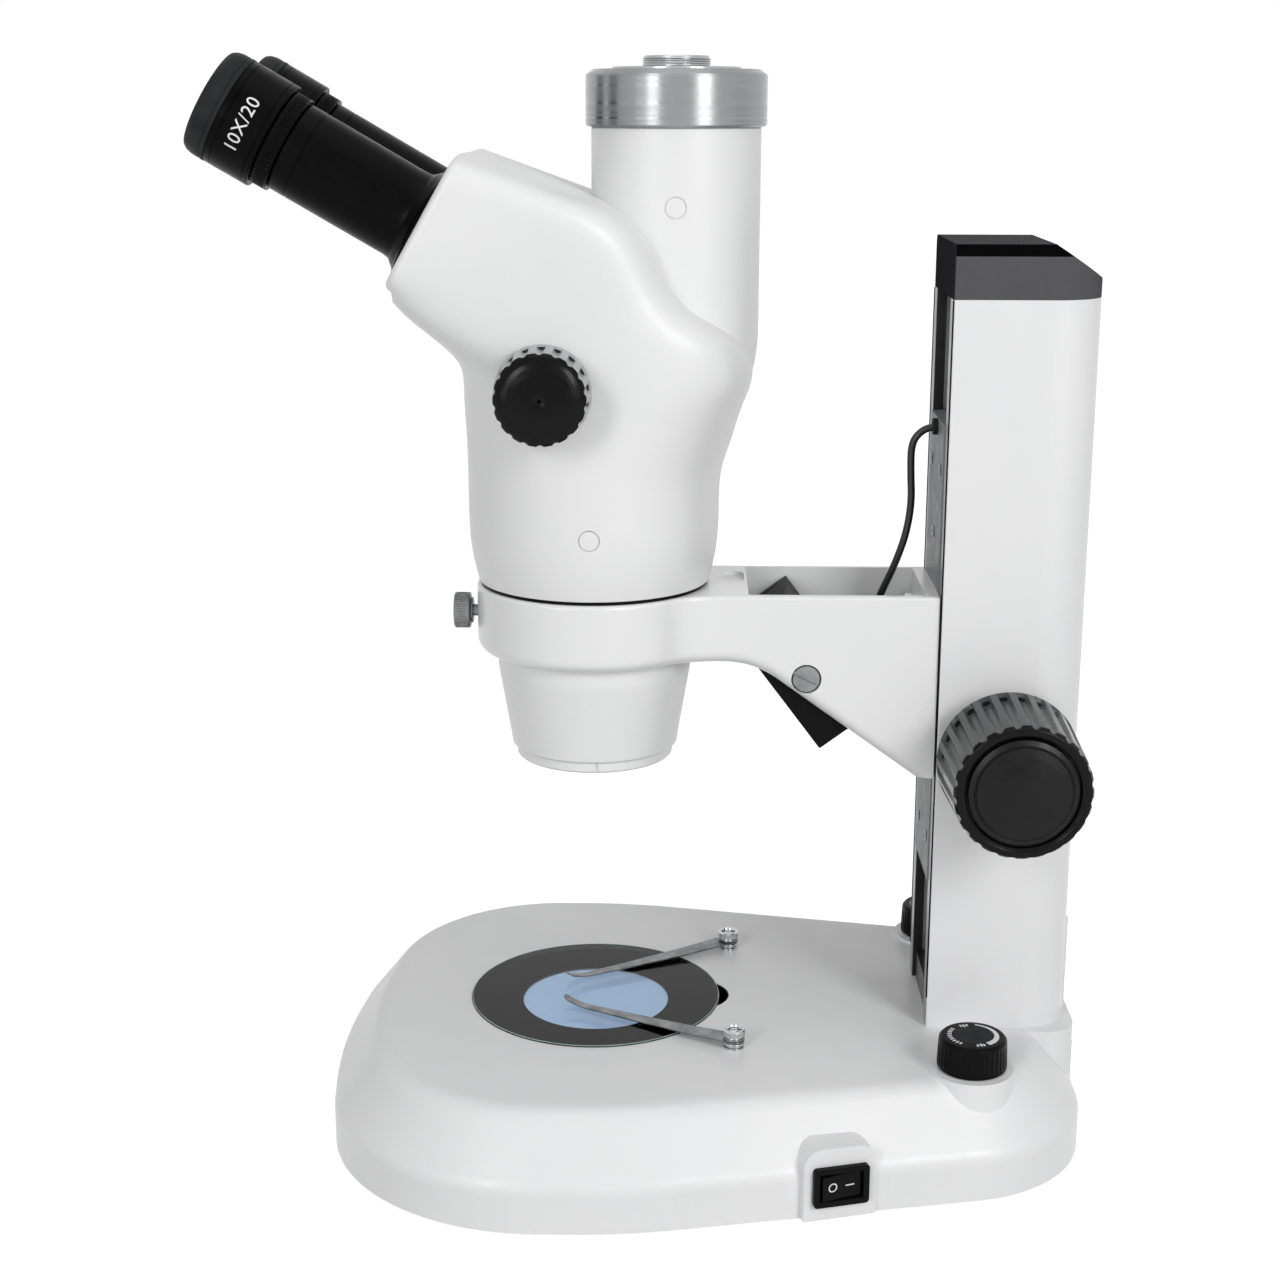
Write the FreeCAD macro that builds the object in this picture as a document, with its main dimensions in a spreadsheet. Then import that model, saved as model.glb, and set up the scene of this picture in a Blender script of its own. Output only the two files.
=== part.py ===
import FreeCAD, Part
import Sketcher
import math
import os
import re
from types import SimpleNamespace
from FreeCAD import Placement, Rotation, Vector

# Stereo zoom microscope on a rack and pinion track stand, in millimetres.
# Drawing frame: Z up from the bench, X to the user's right, Y away from the user,
# with the optical axis at X = Y = 0. Every finished piece is then moved along Y
# by optical_axis_y, so that the origin lies under the middle of the footprint.

SIZES = {
    # frame
    "optical_axis_y": -24.92,
    "running_gap": 0.06,
    "free_gap": 0.3,
    # foot
    "base_top_z": 42.0,
    "base_bottom_z": 1.5,
    "base_half_width": 121.5,
    "base_front_y": -107.0,
    "base_front_rake": 13.0,
    "base_rear_y": 193.0,
    "base_rear_share": 0.695,
    "base_taper_start_y": 14.0,
    "base_front_bow_share": 2.47,
    "base_front_corner_share": 0.7,
    "base_side_bow_share": 1.65,
    "base_rear_corner_radius": 57.0,
    "shoulder_run": 18.5,
    "shoulder_drop": 23.0,
    "shoulder_top_radius": 10.0,
    "shoulder_low_radius": 8.0,
    "base_wall": 5.0,
    "base_skin": 6.0,
    "column_seat_half_width": 33.0,
    "column_seat_front_y": 150.0,
    "column_seat_rear_y": 193.3,
    "column_seat_radius": 12.0,
    "cover_plate_thickness": 1.5,
    "cover_inset": 6.0,
    "foot_radius": 9.0,
    "foot_front_x": 78.0,
    "foot_front_y": -62.0,
    "foot_rear_x": 62.0,
    "foot_rear_y": 140.0,
    "cover_screw_radius": 2.0,
    "cover_screw_head_radius": 3.6,
    "cover_boss_radius": 5.0,
    "cover_screw_front_x": 40.0,
    "cover_screw_front_y": -74.0,
    "cover_screw_rear_x": 44.0,
    "cover_screw_rear_y": 158.0,
    # transmitted light
    "stage_glass_radius": 51.0,
    "stage_glass_thickness": 5.0,
    "stage_glass_proud": 0.6,
    "stage_well_wall": 4.7,
    "stage_well_depth": 13.0,
    "stage_ledge": 6.0,
    "mask_thickness": 0.6,
    "mask_window_radius": 30.0,
    "diffuser_radius": 36.0,
    "diffuser_thickness": 2.0,
    "finger_notch_radius": 15.0,
    "finger_notch_reach": 55.2,
    "finger_notch_depth": 9.0,
    "lamp_board_radius": 32.0,
    "lamp_board_z": 14.0,
    "lamp_board_thickness": 1.6,
    # stage clips
    "clip_post_x": 49.5,
    "clip_post_y": 56.0,
    "clip_post_radius": 2.0,
    "clip_cap_radius": 4.3,
    "clip_cap_z": 46.0,
    "clip_cap_height": 4.0,
    "clip_tip_x": 12.0,
    "clip_tip_y": -10.6,
    "clip_thickness": 0.7,
    "clip_root_half_width": 4.2,
    "clip_tip_half_width": 1.6,
    "clip_rest_z": 43.0,
    "clip_turn_up": 3.0,
    "clip_cap_gap": 0.3,
    "clip_bow": 0.6,
    "clip_bow_start": 6.0,
    "clip_bow_end": 14.0,
    "clip_foot_length": 3.0,
    "clip_toe_length": 8.0,
    # dimmers
    "dimmer_x": 67.0,
    "dimmer_y": 146.5,
    "dimmer_radius": 13.4,
    "dimmer_height": 13.0,
    "dimmer_seat_z": 43.5,
    "dimmer_boss_radius": 16.0,
    "dimmer_rib_radius": 0.8,
    "dimmer_rib_count": 36.0,
    "dimmer_stem_radius": 3.0,
    "dimmer_pot_radius": 8.5,
    "dimmer_pot_height": 9.0,
    # switch
    "switch_y": 94.0,
    "switch_stand_off": 2.4,
    "switch_toe_out": 3.8,
    "switch_z": 15.2,
    "switch_width": 21.5,
    "switch_height": 15.5,
    "switch_frame_proud": 2.0,
    "switch_depth": 16.0,
    "switch_window_width": 17.0,
    "switch_window_height": 11.0,
    "switch_box_wall": 0.9,
    "switch_boss_width": 28.0,
    "switch_boss_top_z": 30.0,
    "switch_boss_radius": 7.0,
    "rocker_side_gap": 0.75,
    "rocker_set_back": 0.6,
    "rocker_high_tilt": 12.0,
    "rocker_low_tilt": 6.0,
    "rocker_depth": 6.0,
    "rocker_back_taper": 2.8,
    "rocker_pin_radius": 1.0,
    "rocker_pin_length": 0.6,
    # power inlet
    "inlet_z": 20.0,
    "inlet_width": 28.0,
    "inlet_height": 18.5,
    "inlet_proud": 1.8,
    "inlet_depth": 18.0,
    "inlet_socket_width": 23.0,
    "inlet_socket_height": 14.5,
    "inlet_socket_depth": 13.0,
    "inlet_wall": 0.9,
    "inlet_pin_space": 2.0,
    "inlet_pin_width": 2.0,
    "inlet_pin_height": 4.0,
    "inlet_pin_length": 7.2,
    "inlet_pin_spacing": 7.0,
    "inlet_pin_step": 1.5,
    # column
    "column_half_width": 29.35,
    "column_front_y": 133.1,
    "column_rear_y": 190.5,
    "column_rear_radius": 20.0,
    "column_front_radius": 1.0,
    "column_wall": 4.0,
    "column_top_z": 330.5,
    "column_slot_half_width": 20.9,
    "column_rib_reach": 5.4,
    "column_rib_thickness": 3.0,
    "column_plug_top_z": 54.0,
    "column_plug_recess": 1.5,
    "cap_height": 20.1,
    "cap_slope_start_y": 170.0,
    "cap_slope_drop": 13.5,
    "cap_chamfer_run": 2.0,
    "cap_chamfer_drop": 4.5,
    "back_cover_half_width": 9.2,
    "back_cover_height": 39.0,
    "back_cover_thickness": 1.2,
    # carriage
    "carriage_bottom_z": 101.0,
    "carriage_top_z": 283.0,
    "carriage_front_y": 132.6,
    "carriage_tongue_thickness": 5.0,
    "rack_module": 1.0,
    "rack_half_width": 6.0,
    "rack_teeth": 34.0,
    "pinion_teeth": 18.0,
    "pinion_half_length": 6.5,
    "tooth_backlash": 0.16,
    "focus_axis_y": 159.4,
    "focus_axis_z": 157.1,
    "focus_shaft_radius": 4.0,
    "focus_bush_radius": 8.0,
    "focus_bush_flange_radius": 13.0,
    "focus_bush_end_x": 36.5,
    "focus_knob_back_x": 38.0,
    "focus_knob_front_x": 79.0,
    "focus_knob_back_radius": 27.3,
    "focus_knob_front_radius": 25.6,
    "focus_knob_rim_radius": 2.0,
    "focus_knob_face_recess": 1.0,
    "focus_cap_radius": 20.5,
    "focus_cap_rise": 3.6,
    "focus_cap_seat": 4.0,
    "focus_flute_count": 24.0,
    "focus_flute_radius": 1.8,
    "focus_flute_depth": 0.8,
    "focus_flute_back": 1.5,
    # arm
    "arm_top_z": 218.2,
    "arm_bottom_z": 191.5,
    "arm_foot_z": 146.0,
    "arm_ring_radius": 46.0,
    "arm_half_width": 28.0,
    "arm_blend_radius": 30.0,
    "arm_foot_front_y": 125.4,
    "arm_knee_y": 62.0,
    "arm_knee_radius": 35.0,
    "arm_wall": 3.5,
    "arm_rear_wall": 5.0,
    "arm_pocket_front_y": 60.0,
    "arm_hollow_front_y": 50.0,
    "arm_web_thickness": 9.0,
    "arm_low_radius": 5.0,
    "arm_edge_radius": 1.5,
    "arm_bolt_radius": 2.5,
    "arm_bolt_head_radius": 4.2,
    "arm_bolt_head_height": 4.0,
    "arm_bolt_x": 14.0,
    "arm_bolt_low_z": 160.0,
    "arm_bolt_high_z": 206.0,
    "web_recess_length": 11.0,
    "web_recess_radius": 4.6,
    "web_recess_x": -7.0,
    "web_recess_y": 54.5,
    "web_recess_depth": 1.5,
    # head clamp screw
    "clamp_z": 205.6,
    "clamp_stem_radius": 2.35,
    "clamp_head_radius": 7.1,
    "clamp_head_length": 7.5,
    "clamp_head_gap": 1.8,
    # arm lamp
    "lamp_axis_y": 82.5,
    "lamp_axis_z": 185.7,
    "lamp_turn": 37.0,
    "lamp_length": 54.7,
    "lamp_depth": 26.2,
    "lamp_half_width": 22.0,
    "lamp_edge_radius": 1.2,
    "lamp_window_inset": 4.0,
    "lamp_window_thickness": 2.0,
    "lamp_pivot_radius": 3.0,
    "lamp_screw_radius": 5.5,
    "lamp_screw_recess": 1.6,
    "lamp_screw_bite": 4.0,
    # lamp lead
    "lead_radius": 1.45,
    "lead_exit_z": 279.5,
    "gland_radius": 3.2,
    "gland_length": 2.0,
    "gland_depth": 2.0,
    "lead_clearance": 0.35,
    "lead_hole_depth": 4.0,
    "terminal_x": -6.0,
    "terminal_y": 111.9,
    "terminal_top_z": 203.0,
    "terminal_height": 11.0,
    "terminal_socket_depth": 3.0,
    "terminal_width": 12.0,
    # microscope head
    "barrel_radius": 38.0,
    "barrel_bore_radius": 31.0,
    "barrel_straight_z": 184.0,
    "barrel_end_z": 152.5,
    "barrel_end_radius": 32.9,
    "barrel_end_round": 4.0,
    "barrel_end_bore_radius": 27.0,
    "barrel_flange_radius": 43.0,
    "barrel_flange_height": 1.0,
    "objective_ring_radius": 31.0,
    "objective_ring_z": 148.0,
    "objective_lens_radius": 26.0,
    "objective_lens_thickness": 5.0,
    "objective_lens_rise": 2.0,
    "housing_bottom_z": 219.5,
    "housing_bottom_radius": 45.2,
    "housing_body_radius": 48.7,
    "housing_swell_z": 252.0,
    "housing_taper_blend": 60.0,
    "housing_taper_top_z": 240.0,
    "housing_cavity_radius": 42.5,
    "housing_floor": 4.5,
    "housing_cavity_top_z": 313.0,
    "housing_shoulder_half_width": 50.0,
    "housing_face_half_width": 56.0,
    "housing_face_above": 30.0,
    "housing_face_below": 26.5,
    "tube_axis_y": 31.2,
    "tube_radius": 31.7,
    "tube_bore_radius": 27.5,
    "tube_bottom_z": 316.0,
    "tube_root_draw": 5.7,
    "tube_root_height": 26.0,
    "tube_top_z": 391.5,
    "port_ring_radius": 33.8,
    "port_ring_height": 20.7,
    "port_ring_bevel_height": 2.2,
    "port_ring_low_break": 0.8,
    "port_ring_face_radius": 30.8,
    "port_ring_bore_radius": 20.0,
    "nose_radius": 12.7,
    "nose_bore_radius": 10.0,
    "nose_height": 4.8,
    "nose_flange_radius": 24.0,
    "nose_flange_height": 1.0,
    "plug_radius": 4.0,
    "plug_thickness": 1.5,
    "plug_proud": 0.3,
    "body_plug_z": 243.7,
    "tube_plug_z": 363.3,
    # zoom drive
    "zoom_axis_y": -16.4,
    "zoom_axis_z": 298.5,
    "zoom_shaft_radius": 4.0,
    "zoom_knob_back_x": 50.8,
    "zoom_knob_front_x": 69.5,
    "zoom_knob_back_radius": 17.8,
    "zoom_knob_front_radius": 16.7,
    "zoom_knob_rim_radius": 1.6,
    "zoom_dome_rise": 2.4,
    "zoom_knob_front_wall": 4.0,
    "zoom_shaft_half_length": 65.5,
    "zoom_gear_teeth": 22.0,
    "zoom_dome_radius": 14.0,
    "zoom_flute_count": 18.0,
    "zoom_flute_radius": 1.7,
    "zoom_flute_depth": 0.6,
    "zoom_gear_radius": 11.0,
    "zoom_gear_half_length": 3.0,
    "lens_tube_radius": 11.0,
    "lens_tube_wall": 1.5,
    "lens_tube_x": 14.0,
    "lens_tube_length": 58.0,
    "lens_plate_radius": 36.0,
    "lens_plate_thickness": 3.0,
    # eyepieces
    "eye_tilt": 30.0,
    "eye_face_y": -60.8,
    "eye_face_z": 357.6,
    "eye_half_spacing": 31.5,
    "eyetube_radius": 16.75,
    "eyetube_bore_radius": 15.06,
    "eyetube_length": 54.0,
    "eyetube_flare_radius": 21.2,
    "eyetube_flare_length": 4.5,
    "eyetube_floor": 8.0,
    "eyetube_light_radius": 7.0,
    "eye_swing_offset": 14.0,
    "eye_stub_radius": 6.0,
    "eye_stub_length": 7.0,
    "diopter_ring_radius": 18.1,
    "diopter_ring_length": 6.0,
    "diopter_knurl_count": 40.0,
    "diopter_knurl_radius": 0.5,
    "eyepiece_radius": 20.0,
    "eyepiece_barrel_radius": 15.0,
    "eyepiece_barrel_length": 22.0,
    "eyepiece_body_length": 18.0,
    "eyepiece_bore_radius": 12.5,
    "eyecup_length": 8.5,
    "eyecup_lip_radius": 18.6,
    "eyecup_bore_radius": 14.0,
    "eye_lens_edge": 1.5,
    "eye_lens_rise": 1.0,
    "eye_lens_sink": 3.5,
}

doc = FreeCAD.newDocument("stereo_zoom_microscope")
sheet = doc.addObject("Spreadsheet::Sheet", "Sizes")
for row, (alias, value) in enumerate(SIZES.items(), start=1):
    sheet.set("A%d" % row, alias)
    sheet.set("B%d" % row, str(value))
    sheet.setAlias("B%d" % row, alias)
doc.recompute()
v = SimpleNamespace(**{alias: float(sheet.get(alias)) for alias in SIZES})

pieces = []


def formula(text):
    """Write a formula of plain size names as one that reads the sheet."""
    return re.sub(r"[a-z]\w*", lambda m: "Sizes." + m[0] if m[0] in SIZES else m[0], text)


def bind(obj, **formulas):
    """Tie an object's lengths and angles to the sheet."""
    for name, text in formulas.items():
        obj.setExpression(name, formula(text))
    return obj


def at(obj, x="0", y="0", z="0", turn=None):
    """Tie an object's place to the sheet, after an optional fixed turn."""
    if turn is not None:
        obj.Placement = Placement(Vector(0, 0, 0), turn)
    for name, text in (("x", x), ("y", y), ("z", z)):
        if text != "0":
            obj.setExpression("Placement.Base." + name, formula(text))
    return obj


ALONG_X = Rotation(Vector(0, 1, 0), 90)
ALONG_MINUS_X = Rotation(Vector(0, 1, 0), -90)
ALONG_Y = Rotation(Vector(1, 0, 0), -90)
ALONG_MINUS_Y = Rotation(Vector(1, 0, 0), 90)


def cylinder(name, radius, height, x="0", y="0", z="0", turn=None):
    obj = doc.addObject("Part::Cylinder", name)
    bind(obj, Radius=radius, Height=height)
    return at(obj, x, y, z, turn)


def block(name, length, width, height, x="0", y="0", z="0", turn=None):
    """A box whose corner nearest to the drawing origin lies at x, y, z."""
    obj = doc.addObject("Part::Box", name)
    bind(obj, Length=length, Width=width, Height=height)
    return at(obj, x, y, z, turn)


def cut(name, base, *tools):
    tool = tools[0] if len(tools) == 1 else fuse(name + "_tools", *tools)
    obj = doc.addObject("Part::Cut", name)
    obj.Base = base
    obj.Tool = tool
    return obj


def fuse(name, *shapes):
    obj = doc.addObject("Part::MultiFuse", name)
    obj.Shapes = list(shapes)
    return obj


def common(name, *shapes):
    obj = doc.addObject("Part::MultiCommon", name)
    obj.Shapes = list(shapes)
    return obj


def group(name, *shapes):
    """Several separate solids that share one name."""
    obj = doc.addObject("Part::Compound", name)
    obj.Links = list(shapes)
    return obj


def rounded(corners):
    """Lines and tangent arcs round a closed outline of (x, y, corner radius)."""
    points = [Vector(x, y, 0) for x, y, _ in corners]
    total = len(points)
    spans = []
    for i, (_, _, radius) in enumerate(corners):
        here = points[i]
        back = (points[i - 1] - here).normalize()
        ahead = (points[(i + 1) % total] - here).normalize()
        if radius <= 0:
            spans.append((here, None, here))
            continue
        half = back.getAngle(ahead) / 2
        reach = radius / math.tan(half)
        middle = here + (back + ahead).normalize() * (radius / math.sin(half) - radius)
        spans.append((here + back * reach, middle, here + ahead * reach))
    shapes = []
    for i, (start, middle, end) in enumerate(spans):
        if middle is not None:
            shapes.append(Part.Arc(start, middle, end))
        following = spans[(i + 1) % total][0]
        if (following - end).Length > 1e-6:
            shapes.append(Part.LineSegment(end, following))
    return shapes


def plane_of(body, role):
    return next(f for f in body.Origin.OriginFeatures if f.Role == role)


def new_body(name):
    return doc.addObject("PartDesign::Body", name)


def sketch_in(body, name, geometry, role="XY_Plane", offset="0"):
    """A sketch of ready geometry on one of the body's own planes."""
    sketch = body.newObject("Sketcher::SketchObject", name)
    sketch.AttachmentSupport = [(plane_of(body, role), "")]
    sketch.MapMode = "FlatFace"
    if offset != "0":
        sketch.setExpression("AttachmentOffset.Base.z", formula(offset))
    sketch.addGeometry(geometry, False)
    return sketch


def circle_sketch(body, name, radius, centre=(0, 0), role="XY_Plane", offset="0"):
    """A sketch of one circle whose radius is tied to the sheet."""
    first = Part.Circle(Vector(centre[0], centre[1], 0), Vector(0, 0, 1), 1.0)
    sketch = sketch_in(body, name, [first], role, offset)
    constraint = sketch.addConstraint(Sketcher.Constraint("Radius", 0, 1.0))
    sketch.setExpression("Constraints[%d]" % constraint, formula(radius))
    return sketch


def pad(body, sketch, length):
    feature = body.newObject("PartDesign::Pad", sketch.Name + "_pad")
    feature.Profile = sketch
    bind(feature, Length=length)
    doc.recompute()
    return feature


def turned(name, profile):
    """A turned piece: a half section of (radius, height, corner radius) about Z."""
    body = new_body(name)
    sketch = sketch_in(body, name + "_section", rounded(profile), "XZ_Plane")
    spin = body.newObject("PartDesign::Revolution", name + "_turning")
    spin.Profile = sketch
    spin.ReferenceAxis = (sketch, ["V_Axis"])
    spin.Angle = 360.0
    doc.recompute()
    return body


def flute(body, radius, distance, count, start, length):
    """Scallop grooves along Z round a turned body, from start to start + length."""
    name = body.Name + "_flute"
    sketch = circle_sketch(body, name, radius, (distance, 0), "XY_Plane", start)
    groove = body.newObject("PartDesign::Pocket", name + "_cut")
    groove.Profile = sketch
    groove.Reversed = True
    bind(groove, Length=length)
    doc.recompute()
    pattern = body.newObject("PartDesign::PolarPattern", name + "_round")
    pattern.Originals = [groove]
    pattern.Axis = (sketch, ["N_Axis"])
    pattern.Angle = 360.0
    pattern.Occurrences = int(count)
    body.Tip = pattern
    doc.recompute()
    return body


def edges_level(shape, level, tolerance=0.01):
    """Names of the edges that lie wholly at one height."""
    found = []
    for i, edge in enumerate(shape.Edges, start=1):
        box = edge.BoundBox
        if abs(box.ZMin - level) < tolerance and abs(box.ZMax - level) < tolerance:
            found.append("Edge%d" % i)
    return found


def soften(body, base, names, radius):
    feature = body.newObject("PartDesign::Fillet", body.Name + "_soft_edge")
    feature.Base = (base, names)
    bind(feature, Radius=radius)
    doc.recompute()
    return feature


def finish(obj, node, placement=None):
    """Name a finished piece and put it in its place in the object's frame."""
    obj.Label = node
    bound = {path.lstrip("."): text for path, text in obj.ExpressionEngine}
    if "Placement.Base.y" in bound:
        obj.setExpression("Placement.Base.y", bound["Placement.Base.y"] + " + Sizes.optical_axis_y")
    else:
        own = placement if placement is not None else obj.Placement
        obj.Placement = Placement(Vector(0, v.optical_axis_y, 0), Rotation()).multiply(own)
    pieces.append(obj)
    return obj


# The foot: a hollow casting with a sloping shoulder, closed from below.

def foot_outline():
    """The foot's plan: bowed in front, and drawn in towards the column. Its radii follow its width."""
    wide = v.base_half_width
    right = [
        (wide, v.base_front_y + v.base_front_rake, v.base_front_corner_share * wide),
        (wide, v.base_taper_start_y, v.base_side_bow_share * wide),
        (v.base_rear_share * wide, v.base_rear_y, v.base_rear_corner_radius),
    ]
    left = [(-x, y, radius) for x, y, radius in reversed(right)]
    return [(0.0, v.base_front_y, v.base_front_bow_share * wide)] + right + left


def outline_wire(corners, z=0.0):
    wire = Part.Wire([shape.toShape() for shape in rounded(corners)])
    wire.translate(Vector(0, 0, z))
    return wire


def outline_prism(name, corners, inset, low, high):
    """A prism on an outline drawn in by a wall, between two heights."""
    wire = outline_wire(corners)
    if inset:
        wire = wire.makeOffset2D(-inset)
    prism = doc.addObject("Part::Feature", name)
    prism.Shape = Part.Face(wire).extrude(Vector(0, 0, high - low))
    prism.Placement = Placement(Vector(0, 0, low), Rotation())
    return prism


def foot_block():
    """The outside of the foot, with its shoulder as a slanted edge."""
    body = new_body("foot_block")
    sketch = sketch_in(body, "foot_plan", rounded(foot_outline()), "XY_Plane", "base_bottom_z")
    block_pad = pad(body, sketch, "base_top_z - base_bottom_z")
    slant = body.newObject("PartDesign::Chamfer", "foot_shoulder")
    slant.Base = (block_pad, edges_level(block_pad.Shape, v.base_top_z))
    slant.ChamferType = "Two distances"
    bind(slant, Size="shoulder_run", Size2="shoulder_drop")
    doc.recompute()
    low_z = v.base_top_z - v.shoulder_drop
    if not edges_level(slant.Shape, low_z):
        slant.FlipDirection = True
        doc.recompute()
    top = soften(body, slant, edges_level(slant.Shape, v.base_top_z), "shoulder_top_radius")
    low = body.newObject("PartDesign::Fillet", "foot_low_edge")
    low.Base = (top, edges_level(top.Shape, low_z))
    bind(low, Radius="shoulder_low_radius")
    doc.recompute()
    return body


def switch_place(z):
    """The face of the rocker switch, a little off the foot's tapering side."""
    run = v.base_rear_y - v.base_taper_start_y
    draw = v.base_half_width * (1 - v.base_rear_share)
    wall_x = v.base_half_width - draw * (v.switch_y - v.base_taper_start_y) / run
    turn = math.degrees(math.atan(draw / run)) + v.switch_toe_out
    return Placement(Vector(wall_x + v.switch_stand_off, v.switch_y, z), Rotation(Vector(0, 0, 1), turn))


def upright_slab(name, corners, depth, place):
    """A slab on an outline of (along the wall, up, radius), reaching inwards by depth."""
    face = Part.Face(outline_wire(corners))
    face.rotate(Vector(0, 0, 0), Vector(1, 0, 0), 90)
    face.rotate(Vector(0, 0, 0), Vector(0, 0, 1), 90)
    slab = doc.addObject("Part::Feature", name)
    slab.Shape = face.extrude(Vector(-depth, 0, 0))
    slab.Placement = place
    return slab


def rectangle(width, height, radius=0.0, x=0.0, y=0.0):
    half, tall = width / 2, height / 2
    return [(x - half, y - tall, radius), (x + half, y - tall, radius),
            (x + half, y + tall, radius), (x - half, y + tall, radius)]


def switch_boss():
    half = v.switch_boss_width / 2
    low = v.base_bottom_z - v.switch_z
    high = v.switch_boss_top_z - v.switch_z
    outline = [(-half, low, 0), (half, low, 0), (half, high, v.switch_boss_radius),
               (-half, high, v.switch_boss_radius)]
    depth = v.switch_depth + v.base_wall
    return upright_slab("switch_boss", outline, depth, switch_place(v.switch_z))


def cover_screw_places():
    return [(side * x, y) for side in (-1, 1)
            for x, y in ((v.cover_screw_front_x, v.cover_screw_front_y),
                         (v.cover_screw_rear_x, v.cover_screw_rear_y))]


def dimmer_places():
    return (("left", -v.dimmer_x), ("right", v.dimmer_x))


def base_shell():
    corners = foot_outline()
    low_z = v.base_top_z - v.shoulder_drop
    ceiling = v.base_top_z - v.base_skin
    low_room = outline_prism("foot_low_room", corners, v.base_wall, 0.0, low_z)
    high_inset = v.shoulder_run + v.base_wall
    high_room = outline_prism("foot_high_room", corners, high_inset, 0.0, ceiling)
    shell = cut("foot_hollow", foot_block(), low_room, high_room)
    seat_depth = v.column_seat_rear_y - v.column_seat_front_y
    seat_middle = (v.column_seat_rear_y + v.column_seat_front_y) / 2
    seat = outline_prism(
        "column_seat",
        rectangle(2 * v.column_seat_half_width, seat_depth, v.column_seat_radius, 0, seat_middle),
        0, v.base_bottom_z, v.base_top_z)
    seat_room = block("column_seat_room", "2 * (column_seat_half_width - base_wall)",
                      "column_seat_rear_y - column_seat_front_y - base_wall + 1",
                      "base_top_z - base_skin", "base_wall - column_seat_half_width",
                      "column_seat_front_y - 1", "0")
    well = cylinder("stage_well", "stage_glass_radius + free_gap + stage_well_wall",
                    "stage_well_depth", z="base_top_z - stage_well_depth")
    boss = switch_boss()
    added = [cut("column_seat_shell", seat, seat_room), well, boss]
    taken = [
        cylinder("well_bore", "stage_glass_radius + free_gap",
                 "stage_glass_thickness - stage_glass_proud + mask_thickness + 1",
                 z="base_top_z - stage_glass_thickness + stage_glass_proud - mask_thickness"),
        cylinder("well_window", "stage_glass_radius - stage_ledge", "stage_well_depth + 1",
                 z="base_top_z - stage_well_depth - 1"),
        cylinder("finger_notch", "finger_notch_radius", "finger_notch_depth + 1",
                 y="finger_notch_reach - finger_notch_radius",
                 z="base_top_z - finger_notch_depth"),
        block("inlet_cutout", "inlet_socket_width + 2", "inlet_depth + 10", "inlet_socket_height + 2",
              "-(inlet_socket_width + 2) / 2", "column_seat_rear_y - inlet_depth",
              "inlet_z - (inlet_socket_height + 2) / 2"),
        upright_slab("switch_cutout",
                     rectangle(v.switch_window_width + 2, v.switch_window_height + 2),
                     v.switch_depth + 30, switch_place(v.switch_z)),
    ]
    for side, x in dimmer_places():
        added.append(cylinder("dimmer_boss_" + side, "dimmer_boss_radius",
                              "dimmer_seat_z - free_gap - base_bottom_z",
                              x=str(x), y="dimmer_y", z="base_bottom_z"))
        taken.append(cylinder("dimmer_room_" + side, "dimmer_boss_radius - base_wall / 2",
                              "base_top_z - base_skin", x=str(x), y="dimmer_y"))
        taken.append(cylinder("dimmer_hole_" + side, "dimmer_stem_radius + running_gap",
                              "base_top_z", x=str(x), y="dimmer_y", z="10"))
    for side in (-1, 1):
        taken.append(cylinder("clip_hole_%d" % (side + 1), "clip_post_radius", "base_skin + 2",
                              x=str(side * v.clip_post_x), y="clip_post_y",
                              z="base_top_z - base_skin - 1"))
    for i, (x, y) in enumerate(cover_screw_places()):
        added.append(cylinder("cover_boss_%d" % i, "cover_boss_radius",
                              "base_top_z - base_skin / 2 - base_bottom_z - cover_plate_thickness",
                              x=str(x), y=str(y), z="base_bottom_z + cover_plate_thickness"))
        taken.append(cylinder("cover_screw_hole_%d" % i, "cover_screw_radius", "12",
                              x=str(x), y=str(y), z="0"))
    rebate = outline_prism("cover_rebate", corners, v.cover_inset - v.free_gap - 2.0, 0.0,
                           v.base_bottom_z + v.cover_plate_thickness)
    whole = fuse("foot_whole", shell, *added)
    return finish(cut("base_casting", whole, rebate, *taken), "base_shell")



def bottom_cover():
    corners = foot_outline()
    plate = outline_prism("cover_blank", corners, v.cover_inset, v.base_bottom_z,
                          v.base_bottom_z + v.cover_plate_thickness)
    holes = [cylinder("cover_hole_%d" % i, "cover_screw_radius + running_gap", "20",
                      x=str(x), y=str(y), z="-5")
             for i, (x, y) in enumerate(cover_screw_places())]
    return finish(cut("cover_plate", plate, *holes), "base_bottom_cover")


def cover_screws():
    """Countersunk screws that hold the bottom cover to the bosses of the foot."""
    screws = []
    for i, (x, y) in enumerate(cover_screw_places()):
        head = cylinder("screw_head_%d" % i, "cover_screw_head_radius", "base_bottom_z - 0.3",
                        x=str(x), y=str(y), z="0.3")
        shank = cylinder("screw_shank_%d" % i, "cover_screw_radius - running_gap", "10",
                         x=str(x), y=str(y), z="base_bottom_z - 0.2")
        screws.append(fuse("cover_screw_%d" % i, head, shank))
    return finish(group("cover_screw_set", *screws), "base_cover_screws")


def rubber_feet():
    feet = []
    for side in (-1, 1):
        for where, x, y in (("front", v.foot_front_x, v.foot_front_y),
                            ("rear", v.foot_rear_x, v.foot_rear_y)):
            feet.append(cylinder("foot_%s_%d" % (where, side + 1), "foot_radius", "base_bottom_z",
                                 x=str(side * x), y=str(y)))
    return finish(group("foot_set", *feet), "rubber_feet")


# Transmitted light: a glass stage over a mask, a blue frosted disc and a lamp board.

def stage_glass():
    glass = cylinder("glass_disc", "stage_glass_radius", "stage_glass_thickness",
                     z="base_top_z - stage_glass_thickness + stage_glass_proud")
    return finish(glass, "stage_glass")


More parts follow.
